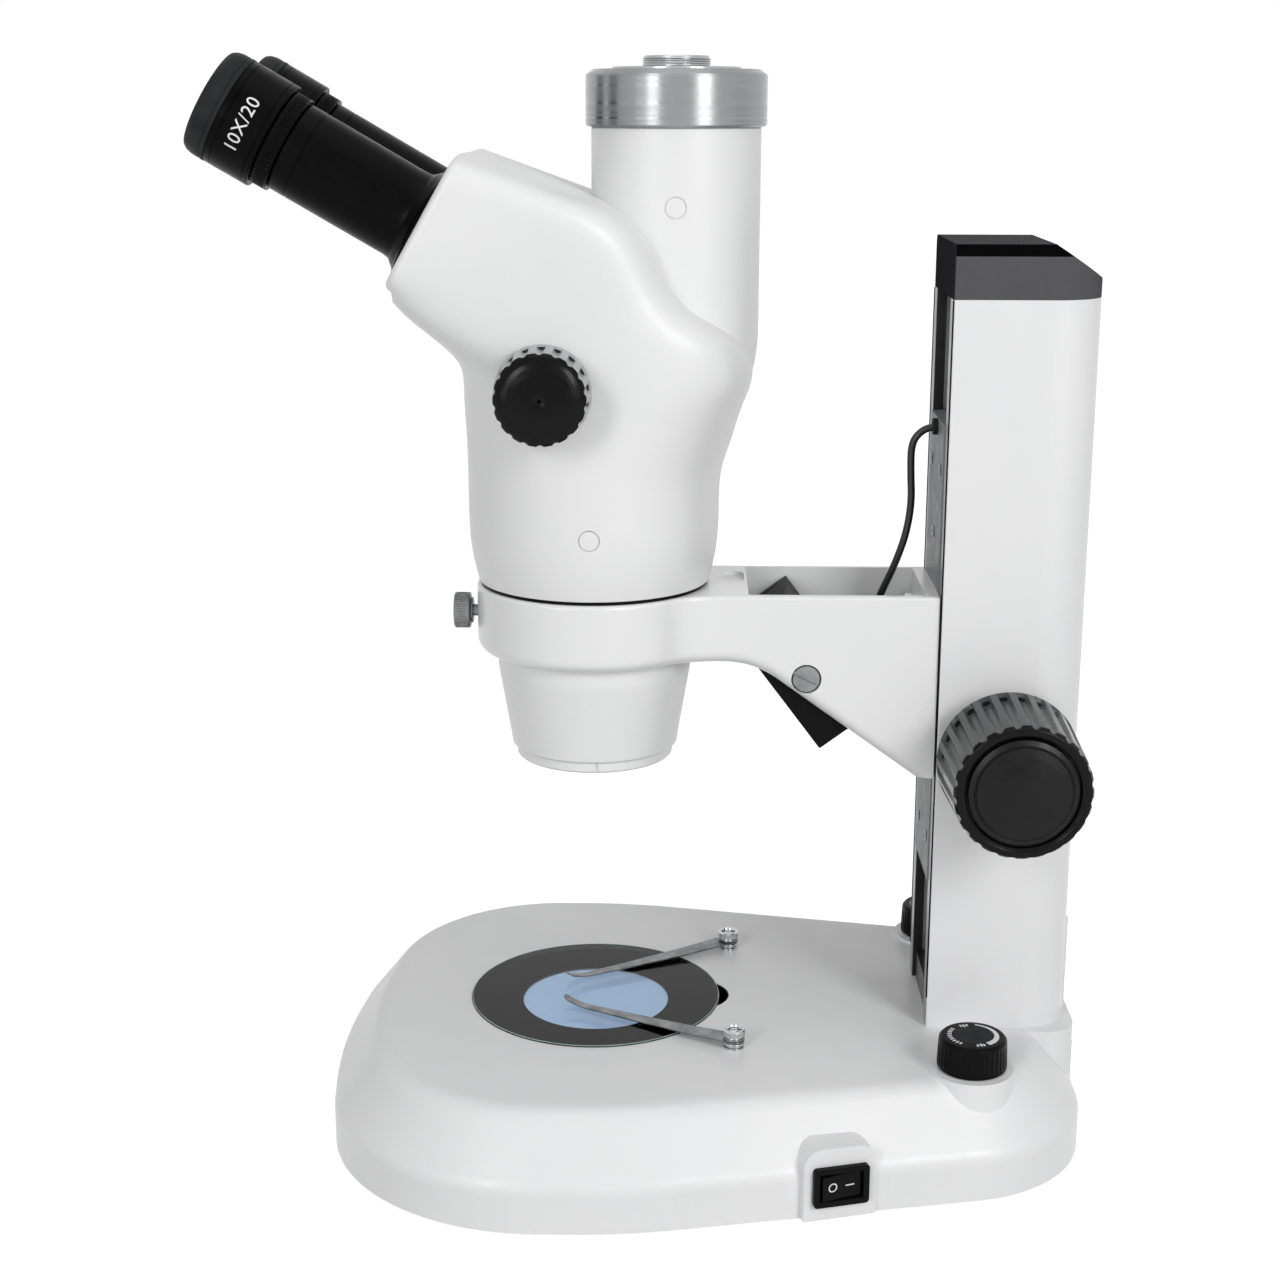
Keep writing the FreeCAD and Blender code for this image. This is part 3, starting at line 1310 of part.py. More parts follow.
def lamp_window():
    half, tall = v.lamp_half_width - v.lamp_window_inset, v.lamp_length / 2 - v.lamp_window_inset
    pane = doc.addObject("Part::Box", "lamp_pane")
    bind(pane, Length="2 * (lamp_half_width - lamp_window_inset)", Width="lamp_window_thickness",
         Height="lamp_length - 2 * lamp_window_inset")
    corner = Placement(Vector(-half, -v.lamp_depth / 2, -tall), Rotation())
    return finish(pane, "lamp_window", lamp_frame().multiply(corner))


def lamp_pivot_screws():
    """Slotted screws through the arm's walls, whose tips carry the lamp."""
    screws = []
    for side in (-1, 1):
        head = v.arm_half_width - v.lamp_screw_recess
        tip = v.lamp_half_width - v.lamp_screw_bite + v.free_gap
        body = turned("lamp_screw_%d" % (side + 1), [
            (0, tip, 0), (v.lamp_pivot_radius, tip, 0), (v.lamp_pivot_radius, head, 0),
            (v.lamp_screw_radius, head, 0), (v.lamp_screw_radius, head + v.lamp_screw_recess, 0.3),
            (0, head + v.lamp_screw_recess, 0)])
        body.Placement = side_place(side, v.lamp_axis_y, v.lamp_axis_z)
        slot = block("lamp_screw_slot_%d" % (side + 1), "1", "2 * lamp_screw_radius + 2", "1.2",
                     "%g" % (side * v.arm_half_width - 0.5), "lamp_axis_y - lamp_screw_radius - 1",
                     "lamp_axis_z - 0.6")
        screws.append(cut("lamp_screw_cut_%d" % (side + 1), body, slot))
    return finish(group("lamp_screw_pair", *screws), "lamp_pivot_screws")


def cable_gland():
    bore = v.lead_radius + v.lead_clearance
    sleeve = turned("gland_sleeve", [
        (bore, -v.gland_depth, 0), (v.gland_radius, -v.gland_depth, 0),
        (v.gland_radius, v.gland_length, 0.5), (bore, v.gland_length, 0)])
    place = Placement(Vector(0, v.carriage_front_y, v.lead_exit_z), ALONG_MINUS_Y)
    return finish(sleeve, "cable_gland", place)


def lamp_terminal():
    """The terminal block on the inside of the arm's left wall, where the lead ends."""
    body = block("terminal_body", "terminal_x + terminal_width / 2 + arm_half_width - arm_wall",
                 "terminal_width", "terminal_height", "arm_wall - arm_half_width",
                 "terminal_y - terminal_width / 2", "terminal_top_z - terminal_height")
    socket = cylinder("terminal_socket", "lead_radius + running_gap", "terminal_height",
                      x="terminal_x", y="terminal_y", z="terminal_top_z - terminal_socket_depth")
    return finish(cut("terminal_drilled", body, socket), "lamp_terminal")


# The lead leaves the carriage level, turns down in a quarter circle and hangs to its terminal.
LEAD_ROUTE = [
    (0.0, 135.2, 279.5), (0.0, 129.94, 279.5), (-0.1, 125.4, 276.88), (-0.3, 122.78, 272.34),
    (-0.6, 122.9, 262.3), (-1.0, 123.8, 249.5), (-1.8, 122.0, 236.0), (-3.4, 117.6, 222.5),
    (-5.2, 113.4, 212.5), (-6.0, 111.9, 207.0), (-6.0, 111.9, 200.2)]


def lead_path():
    """Straight runs joined by tangent arcs through the lead's chosen points."""
    points = [Vector(*point) for point in LEAD_ROUTE]
    shapes, start, radii = [], points[0], []
    for before, here, after in zip(points, points[1:], points[2:]):
        back, ahead = before - here, after - here
        run = min(back.Length, ahead.Length)
        half = back.getAngle(ahead) / 2
        reach = 0.45 * run
        radius = reach * math.tan(half)
        back.normalize()
        ahead.normalize()
        middle = here + (back + ahead).normalize() * (radius / math.sin(half) - radius)
        shapes += [Part.LineSegment(start, here + back * reach),
                   Part.Arc(here + back * reach, middle, here + ahead * reach)]
        start = here + ahead * reach
        radii.append(round(radius, 1))
    shapes.append(Part.LineSegment(start, points[-1]))
    return Part.Wire([shape.toShape() for shape in shapes]), radii


def lamp_lead():
    path, radii = lead_path()
    first = (Vector(*LEAD_ROUTE[1]) - Vector(*LEAD_ROUTE[0])).normalize()
    ring = Part.Wire(Part.makeCircle(v.lead_radius, Vector(*LEAD_ROUTE[0]), first))
    tube = path.makePipeShell([ring], True, True)
    expected = math.pi * v.lead_radius ** 2 * path.Length
    print("lead bend radii", radii, "length", round(path.Length, 1),
          "volume share", round(tube.Volume / expected, 4))
    lead = doc.addObject("Part::Feature", "lead_tube")
    lead.Shape = tube
    return finish(lead, "lamp_lead")


# The microscope head: a moulded housing round a barrel, a camera tube and two eyetubes.

def eye_frame(x=0.0):
    """Z along the eyepiece, starting on the housing's inclined face, and Y up that face."""
    turn = Rotation(Vector(1, 0, 0), 90.0 - v.eye_tilt)
    return Placement(Vector(x, v.eye_face_y, v.eye_face_z), turn)


def housing_sections():
    """Slices of the housing: (lower end, upper end, half width, squareness), bottom to face."""
    body, half, face = v.housing_body_radius, v.housing_shoulder_half_width, v.housing_face_half_width
    frame = eye_frame()
    low = frame.multVec(Vector(0, -v.housing_face_below, 0))
    high = frame.multVec(Vector(0, v.housing_face_above, 0))
    return [
        ((-body, v.housing_swell_z), (body, v.housing_swell_z), body, 2.0),
        ((-48.75, 263.0), (49.6, 263.0), half - 1.1, 2.0),
        ((-48.9, 275.0), (53.2, 275.0), half - 0.8, 2.1),
        ((-49.3, 290.0), (57.8, 290.0), half - 0.2, 2.5),
        ((-49.8, 303.0), (60.6, 303.5), half, 3.0),
        ((-53.0, 309.5), (54.0, 315.5), half, 3.8),
        ((-59.0, 316.0), (38.0, 326.5), half + 0.3, 4.8),
        ((-64.5, 321.0), (27.0, 340.5), half + 1.2, 5.6),
        ((-69.0, 325.5), (18.5, 354.5), half + 2.3, 6.2),
        ((-72.0, 329.5), (5.0, 364.8), face - 2.6, 6.8),
        ((-73.6, 332.3), (-19.0, 374.8), face - 1.1, 7.2),
        ((low.y, low.z), (high.y, high.z), face, 7.5),
    ]


def section_ring(low, high, half, squareness, points=32):
    """A closed smooth curve in the slice's plane, between a circle and a square."""
    middle = Vector(0, (low[0] + high[0]) / 2, (low[1] + high[1]) / 2)
    reach = Vector(0, (high[0] - low[0]) / 2, (high[1] - low[1]) / 2)
    curve = []
    for i in range(points):
        angle = 2 * math.pi * i / points
        c, s = math.cos(angle), math.sin(angle)
        polar = (abs(c) ** squareness + abs(s) ** squareness) ** (-1.0 / squareness)
        curve.append(middle + Vector(half * c * polar, 0, 0) + reach * (s * polar))
    ring = Part.BSplineCurve()
    ring.interpolate(Points=curve, PeriodicFlag=True, Parameters=[float(i) for i in range(points + 1)])
    return ring


def skinned(rings):
    """A solid whose side runs smoothly through the rings, closed by flat ends."""
    rows = [ring.getPoles() for ring in rings]
    reach = [0.0]
    for row, following in zip(rows, rows[1:]):
        steps = [here.distanceToPoint(there) for here, there in zip(row, following)]
        reach.append(reach[-1] + sum(steps) / len(steps))
    columns = []
    for i in range(len(rows[0])):
        column = Part.BSplineCurve()
        column.interpolate(Points=[row[i] for row in rows], Parameters=reach)
        columns.append(column)
    skin = Part.BSplineSurface()
    skin.buildFromPolesMultsKnots([column.getPoles() for column in columns],
                                  rings[0].getMultiplicities(), columns[0].getMultiplicities(),
                                  rings[0].getKnots(), columns[0].getKnots(), True, False, 3, 3)
    side = skin.toShape()
    ends = [Part.Face(Part.Wire([edge])) for edge in side.Edges if edge.isClosed()]
    shell = Part.Shell([side] + ends)
    shell.sewShape()
    solid = Part.Solid(shell)
    return solid if solid.Volume > 0 else solid.reversed()


def housing_form():
    """The outside of the housing: a turned body, a skinned hood and the foot of the camera tube."""
    hood = doc.addObject("Part::Feature", "hood")
    hood.Shape = skinned([section_ring(*section) for section in housing_sections()])
    body = turned("housing_body", [
        (0, v.housing_bottom_z, 0), (v.housing_bottom_radius, v.housing_bottom_z, 0.8),
        (v.housing_body_radius, v.housing_taper_top_z, v.housing_taper_blend),
        (v.housing_body_radius, v.housing_swell_z, 0), (0, v.housing_swell_z, 0)])
    root = doc.addObject("Part::Cone", "tube_root")
    bind(root, Radius1="tube_radius - tube_root_draw", Radius2="tube_radius",
         Height="tube_root_height")
    at(root, y="tube_axis_y", z="tube_bottom_z - tube_root_height")
    return fuse("housing_form", body, hood, root)


def head_housing():
    taken = [
        cylinder("housing_cavity", "housing_cavity_radius",
                 "housing_cavity_top_z - housing_bottom_z - housing_floor",
                 z="housing_bottom_z + housing_floor"),
        cylinder("housing_light_hole", "barrel_end_bore_radius", "20", z="housing_bottom_z - 5"),
        cylinder("tube_seat", "tube_radius", "100", y="tube_axis_y", z="tube_bottom_z"),
        cylinder("zoom_shaft_hole", "zoom_shaft_radius + running_gap",
                 "2 * (housing_shoulder_half_width + 5)", x="-(housing_shoulder_half_width + 5)",
                 y="zoom_axis_y", z="zoom_axis_z", turn=ALONG_X),
    ]
    for side in (-1, 1):
        stub = cylinder("stub_hole_%d" % (side + 1), "eye_stub_radius + running_gap",
                        "eye_stub_length + free_gap + 1")
        stub.Placement = eye_frame(side * v.eye_half_spacing).multiply(
            Placement(Vector(0, -v.eye_swing_offset, -v.eye_stub_length - v.free_gap), Rotation()))
        taken.append(stub)
        taken.append(cylinder("plug_seat_%d" % (side + 1), "plug_radius", "20",
                              x="%d * (housing_body_radius - plug_thickness + plug_proud)" % side,
                              z="body_plug_z", turn=ALONG_X if side > 0 else ALONG_MINUS_X))
    return finish(cut("housing_moulding", housing_form(), *taken), "head_housing")


def trinocular_tube():
    tube = turned("tube_turning", [
        (v.tube_bore_radius, v.tube_bottom_z, 0), (v.tube_radius, v.tube_bottom_z, 0),
        (v.tube_radius, v.tube_top_z, 0.4), (v.tube_bore_radius, v.tube_top_z, 0)])
    tube.Placement = Placement(Vector(0, v.tube_axis_y, 0), Rotation())
    seats = [cylinder("tube_plug_seat_%d" % (side + 1), "plug_radius", "10",
                      x="%d * (tube_radius - plug_thickness + plug_proud)" % side,
                      y="tube_axis_y", z="tube_plug_z", turn=ALONG_X if side > 0 else ALONG_MINUS_X)
             for side in (-1, 1)]
    return finish(cut("tube_drilled", tube, *seats), "trinocular_tube")


def housing_plugs():
    """Flush plugs over the setting screws, on both sides of the body and of the tube."""
    plugs = []
    for side in (-1, 1):
        turn = ALONG_X if side > 0 else ALONG_MINUS_X
        for name, reach, y, z in (("body", "housing_body_radius", "0", "body_plug_z"),
                                  ("tube", "tube_radius", "tube_axis_y", "tube_plug_z")):
            plugs.append(cylinder("plug_%s_%d" % (name, side + 1), "plug_radius - running_gap",
                                  "plug_thickness",
                                  x="%d * (%s - plug_thickness + plug_proud)" % (side, reach),
                                  y=y, z=z, turn=turn))
    return finish(group("plug_set", *plugs), "housing_plugs")


def lower_barrel():
    """The 76 mm barrel that hangs in the arm's ring, with its flange and tapered nose."""
    flange_z = v.housing_bottom_z - v.barrel_flange_height
    barrel = turned("barrel_turning", [
        (v.barrel_end_bore_radius, v.barrel_end_z, 0),
        (v.barrel_end_radius, v.barrel_end_z, v.barrel_end_round),
        (v.barrel_radius, v.barrel_straight_z, 20.0), (v.barrel_radius, flange_z, 0),
        (v.barrel_flange_radius, flange_z, 0), (v.barrel_flange_radius, v.housing_bottom_z, 0),
        (v.barrel_bore_radius, v.housing_bottom_z, 0), (v.barrel_bore_radius, v.barrel_straight_z, 0),
        (v.barrel_end_bore_radius, v.barrel_straight_z - 20, 0)])
    return finish(barrel, "lower_barrel")


def objective_ring():
    """The screwed ring at the end of the barrel, in which the front lens sits."""
    ring = turned("objective_turning", [
        (v.objective_lens_radius - 1.5, v.objective_ring_z, 0),
        (v.objective_ring_radius, v.objective_ring_z, 0.8),
        (v.objective_ring_radius, v.barrel_end_z, 0),
        (v.objective_lens_radius, v.barrel_end_z, 0),
        (v.objective_lens_radius, v.objective_ring_z + 2, 0),
        (v.objective_lens_radius - 1.5, v.objective_ring_z + 1, 0)])
    return finish(ring, "objective_ring")


def lens(radius, thickness, rise):
    """A disc with one domed face towards Z."""
    dome = (radius ** 2 + rise ** 2) / (2 * rise)
    blank = Part.makeCylinder(radius, thickness + rise)
    return blank.common(Part.makeSphere(dome, Vector(0, 0, thickness + rise - dome)))


def objective_lens():
    glass = doc.addObject("Part::Feature", "objective_glass")
    glass.Shape = lens(v.objective_lens_radius - v.running_gap, v.objective_lens_thickness,
                       v.objective_lens_rise)
    glass.Placement = Placement(Vector(0, 0, v.objective_ring_z + 2), Rotation())
    return finish(glass, "objective_lens")


def port_ring():
    """The brushed ring on the camera tube, with a bevelled top edge."""
    low, top = v.tube_top_z, v.tube_top_z + v.port_ring_height
    break_edge = v.port_ring_low_break
    ring = turned("port_turning", [
        (v.port_ring_bore_radius, low, 0), (v.port_ring_radius - break_edge, low, 0),
        (v.port_ring_radius, low + break_edge, 0),
        (v.port_ring_radius, top - v.port_ring_bevel_height, 0),
        (v.port_ring_face_radius, top, 0), (v.port_ring_bore_radius, top, 0)])
    return finish(ring, "port_ring", Placement(Vector(0, v.tube_axis_y, 0), Rotation()))


def camera_mount():
    """The one-inch threaded nose for a camera, on a flange let into the ring."""
    low = v.tube_top_z + v.port_ring_height
    step, top = low + v.nose_flange_height, low + v.nose_height
    nose = turned("nose_turning", [
        (v.nose_bore_radius, low, 0), (v.nose_flange_radius, low, 0),
        (v.nose_flange_radius, step, 0.3), (v.nose_radius, step, 0),
        (v.nose_radius, top, 0.4), (v.nose_bore_radius, top, 0)])
    return finish(nose, "camera_mount", Placement(Vector(0, v.tube_axis_y, 0), Rotation()))


def lens_tubes():
    """The two zoom channels, side by side on a plate that lies on the housing's floor."""
    floor = "housing_bottom_z + housing_floor"
    whole = [cylinder("lens_plate", "lens_plate_radius", "lens_plate_thickness", z=floor)]
    bores = []
    for side in (-1, 1):
        name = str(side + 1)
        x = str(side * v.lens_tube_x)
        whole.append(cylinder("lens_tube_" + name, "lens_tube_radius", "lens_tube_length", x=x, z=floor))
        bores.append(cylinder("lens_bore_" + name, "lens_tube_radius - lens_tube_wall",
                              "lens_tube_length + 2", x=x, z=floor + " - 1"))
    return finish(cut("lens_tube_pair", fuse("lens_tubes_whole", *whole), *bores), "zoom_lens_tubes")


# Zoom drive: a shaft across the housing, with a gear in the middle and a knob at each end.

def zoom_shaft():
    """The shaft across the housing, with the gear that drives the zoom lenses on its middle."""
    rod = cylinder("zoom_rod", "zoom_shaft_radius", "2 * zoom_shaft_half_length",
                   x="-zoom_shaft_half_length", y="zoom_axis_y", z="zoom_axis_z", turn=ALONG_X)
    radius, half = v.zoom_gear_radius, v.zoom_gear_half_length
    root, tip = radius - 1.25 * v.rack_module, radius + v.rack_module
    line = []
    for i in range(int(v.zoom_gear_teeth)):
        for share, r in ((0.0, root), (0.28, root), (0.42, tip), (0.58, tip), (0.72, root)):
            angle = 2 * math.pi * (i + share) / v.zoom_gear_teeth
            line.append(Vector(r * math.cos(angle), r * math.sin(angle), -half))
    gear = doc.addObject("Part::Feature", "zoom_wheel")
    gear.Shape = Part.Face(Part.makePolygon(line + [line[0]])).extrude(Vector(0, 0, 2 * half))
    gear.Placement = Placement(Vector(0, v.zoom_axis_y, v.zoom_axis_z), ALONG_X)
    return finish(fuse("zoom_drive", rod, gear), "zoom_shaft")


def zoom_knob(name, side):
    back, front = v.zoom_knob_back_x, v.zoom_knob_front_x
    wide, narrow, rise = v.zoom_knob_back_radius, v.zoom_knob_front_radius, v.zoom_dome_rise
    body = turned("zoom_grip_" + name, [
        (v.zoom_shaft_radius, back, 0), (wide, back, 1.0), (narrow, front, v.zoom_knob_rim_radius),
        (v.zoom_dome_radius, front + rise * 0.55, 8.0), (0, front + rise, 0),
        (0, front - v.zoom_knob_front_wall, 0),
        (v.zoom_shaft_radius, front - v.zoom_knob_front_wall, 0)])
    flute(body, "zoom_flute_radius", narrow + v.zoom_flute_radius - v.zoom_flute_depth,
          v.zoom_flute_count, "zoom_knob_back_x - 1", "zoom_knob_front_x - zoom_knob_back_x + 4")
    return finish(body, "zoom_knob_" + name, side_place(side, v.zoom_axis_y, v.zoom_axis_z))


# Eyepieces: each tube swings on a stub to suit the eyes, and its ring lifts the eyepiece.

def eyetube(name, side):
    tube, bore = v.eyetube_radius, v.eyetube_bore_radius
    start = v.free_gap
    body = turned("eyetube_turning_" + name, [
        (v.eyetube_light_radius, start, 0), (v.eyetube_flare_radius, start, 0),
        (v.eyetube_flare_radius, start + 0.6, 0), (tube, v.eyetube_flare_length, 0),
        (tube, v.eyetube_length, 0.4), (bore, v.eyetube_length, 0), (bore, v.eyetube_floor, 0),
        (v.eyetube_light_radius, v.eyetube_floor, 0)])
    stub = cylinder("eyetube_stub_" + name, "eye_stub_radius", "eye_stub_length + free_gap + 0.5")
    stub.Placement = Placement(Vector(0, -v.eye_swing_offset, -v.eye_stub_length), Rotation())
    return finish(fuse("eyetube_whole_" + name, body, stub), "eyetube_" + name,
                  eye_frame(side * v.eye_half_spacing))


def diopter_ring(name, side):
    start = v.eyetube_length + v.free_gap
    end = start + v.diopter_ring_length
    body = turned("diopter_turning_" + name, [
        (v.eyepiece_barrel_radius + v.free_gap, start, 0), (v.diopter_ring_radius, start, 0.3),
        (v.diopter_ring_radius, end, 0.3), (v.eyepiece_barrel_radius + v.free_gap, end, 0)])
    flute(body, "diopter_knurl_radius", v.diopter_ring_radius + v.diopter_knurl_radius * 0.4,
          v.diopter_knurl_count, "%g" % (start + 1), "diopter_ring_length - 2")
    return finish(body, "diopter_ring_" + name, eye_frame(side * v.eye_half_spacing))


def eyepiece_start():
    return v.eyetube_length + v.diopter_ring_length + 2 * v.free_gap


def eyepiece(name, side):
    """The eyepiece: a sliding barrel below and a wider body above the diopter ring."""
    start = eyepiece_start()
    end = start + v.eyepiece_body_length
    barrel_end = v.eyetube_length - v.eyepiece_barrel_length
    body = turned("eyepiece_turning_" + name, [
        (v.eyepiece_bore_radius, barrel_end, 0), (v.eyepiece_barrel_radius, barrel_end, 0.3),
        (v.eyepiece_barrel_radius, start, 0), (v.eyepiece_radius, start, 0.4),
        (v.eyepiece_radius, end, 0.2), (v.eyepiece_bore_radius, end, 0)])
    return finish(body, "eyepiece_" + name, eye_frame(side * v.eye_half_spacing))


def eyecup(name, side):
    start = eyepiece_start() + v.eyepiece_body_length
    end = start + v.eyecup_length
    body = turned("eyecup_turning_" + name, [
        (v.eyecup_bore_radius, start, 0), (v.eyepiece_radius + 0.2, start, 0.3),
        (v.eyepiece_radius, start + v.eyecup_length * 0.62, 4.0), (v.eyecup_lip_radius, end, 1.4),
        (v.eyecup_bore_radius + 1.0, end, 1.4)])
    return finish(body, "eyecup_" + name, eye_frame(side * v.eye_half_spacing))


def eye_lens(name, side):
    start = eyepiece_start() + v.eyepiece_body_length - v.eye_lens_sink
    glass = doc.addObject("Part::Feature", "eye_glass_" + name)
    glass.Shape = lens(v.eyepiece_bore_radius - v.running_gap, v.eye_lens_edge, v.eye_lens_rise)
    place = eye_frame(side * v.eye_half_spacing).multiply(Placement(Vector(0, 0, start), Rotation()))
    return finish(glass, "eye_lens_" + name, place)


def build():
    base_shell()
    bottom_cover()
    cover_screws()
    rubber_feet()
    stage_glass()
    stage_mask()
    stage_diffuser()
    stage_lamp_board()
    driver_board()
    dimmer_pots()
    switch_frame()
    power_inlet()
    power_rocker()
    for side, x in dimmer_places():
        dimmer_knob(side, x)
    clip_posts()
    column()
    column_cap()
    column_back_cover()
    carriage_plate()
    focus_rack()
    focus_pinion()
    focus_shaft()
    focus_bushes()
    focus_knob_caps()
    arm()
    arm_bolts()
    clamp_screw()
    lamp_housing()
    lamp_window()
    lamp_pivot_screws()
    lamp_terminal()
    cable_gland()
    lamp_lead()
    head_housing()
    trinocular_tube()
    housing_plugs()
    lower_barrel()
    objective_ring()
    objective_lens()
    port_ring()
    camera_mount()
    lens_tubes()
    zoom_shaft()
    for name, side in (("left", -1), ("right", 1)):
        stage_clip(name, side)
        focus_knob(name, side)
        zoom_knob(name, side)
        eyetube(name, side)
        diopter_ring(name, side)
        eyepiece(name, side)
        eyecup(name, side)
        eye_lens(name, side)


def check_and_write():
    doc.recompute()
    broken = [obj.Label for obj in doc.Objects if "Invalid" in obj.State or "Error" in obj.State]
    broken += [obj.Label for obj in pieces if obj.Shape.isNull() or not obj.Shape.isValid()]
    if broken:
        raise RuntimeError("failed pieces: " + ", ".join(broken))
    os.makedirs("parts", exist_ok=True)
    for obj in pieces:
        obj.Shape.exportStep(os.path.join("parts", obj.Label + ".step"))
    low = min(obj.Shape.BoundBox.YMin for obj in pieces)
    high = max(obj.Shape.BoundBox.YMax for obj in pieces)
    print(len(pieces), "pieces, Y from", round(low, 2), "to", round(high, 2))


build()
check_and_write()
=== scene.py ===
"""Looks of the stereo zoom microscope, on the frame that its solids give. Lengths are in metres."""

import math

import bmesh
import bpy
import numpy as np
from mathutils import Matrix, Vector


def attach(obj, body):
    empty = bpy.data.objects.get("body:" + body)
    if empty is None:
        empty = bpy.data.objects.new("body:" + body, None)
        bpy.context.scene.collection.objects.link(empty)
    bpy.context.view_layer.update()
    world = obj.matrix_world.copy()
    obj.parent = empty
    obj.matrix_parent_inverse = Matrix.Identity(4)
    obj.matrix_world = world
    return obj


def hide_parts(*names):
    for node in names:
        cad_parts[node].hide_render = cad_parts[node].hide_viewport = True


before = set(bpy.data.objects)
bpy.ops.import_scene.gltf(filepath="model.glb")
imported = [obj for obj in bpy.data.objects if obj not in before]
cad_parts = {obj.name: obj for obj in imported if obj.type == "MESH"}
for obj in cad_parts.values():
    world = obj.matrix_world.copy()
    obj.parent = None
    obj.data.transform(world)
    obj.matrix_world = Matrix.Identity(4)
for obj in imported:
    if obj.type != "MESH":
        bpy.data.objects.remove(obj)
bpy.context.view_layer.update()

MM = 0.001
SIDES = ((1, "right"), (-1, "left"))

# Places, in mm from the optical axis
AXIS_Y = -24.92                 # the optical axis itself, along Y of the frame
TUBE_Y = 31.2                   # the camera tube's axis
EYE = (31.5, -60.8, 357.6)      # where an eyetube leaves the housing's face
EYE_LEAN = 60.0                 # degrees that the eyetubes lean from upright
ZOOM_AXIS = (-16.4, 298.5)      # Y and Z of the zoom knobs' shaft
FOCUS_AXIS = (159.4, 157.1)     # Y and Z of the focus knobs' shaft
CLAMP_Z = 205.6                 # the thumb screw in the ring
PIVOT = (26.4, 82.5, 185.7)     # the lamp's pivot on the arm's right wall
DIMMER = (67.0, 146.5, 43.5)
CLIP_POST = (49.5, 56.0)
CLIP_TIP = (12.0, -10.6)
SWITCH = (107.338, 94.0, 15.2)
SWITCH_TURN = 15.5              # degrees about Z that the switch faces backwards
TRACK_FRONT = 133.3             # the track's darker front strip ends here
TRACK_REAR = 180.0
SLOT_HALF = 21.2
CAP_FRONT, CAP_BEVEL_Z, CAP_BEVEL_X = 133.4, 346.2, 27.38     # the cap's front face and its bevels
REAR_COVER = 191.7


def at(x, y, z):
    """A point given in mm from the optical axis, as the frame has it in metres."""
    return Vector((x * MM, (y + AXIS_Y) * MM, z * MM))


def along_y(y):
    """A place along Y, in mm from the optical axis, in the frame's metres."""
    return (y + AXIS_Y) * MM


def round_point(radius, angle, z):
    return Vector((radius * math.cos(angle), radius * math.sin(angle), z))


# Materials

def linear(code):
    """A screen colour such as e8e8e8 as the linear colour that a shader takes."""
    parts = [int(code[i:i + 2], 16) / 255 for i in (0, 2, 4)]
    return tuple(p / 12.92 if p <= 0.04045 else ((p + 0.055) / 1.055) ** 2.4 for p in parts) + (1.0,)


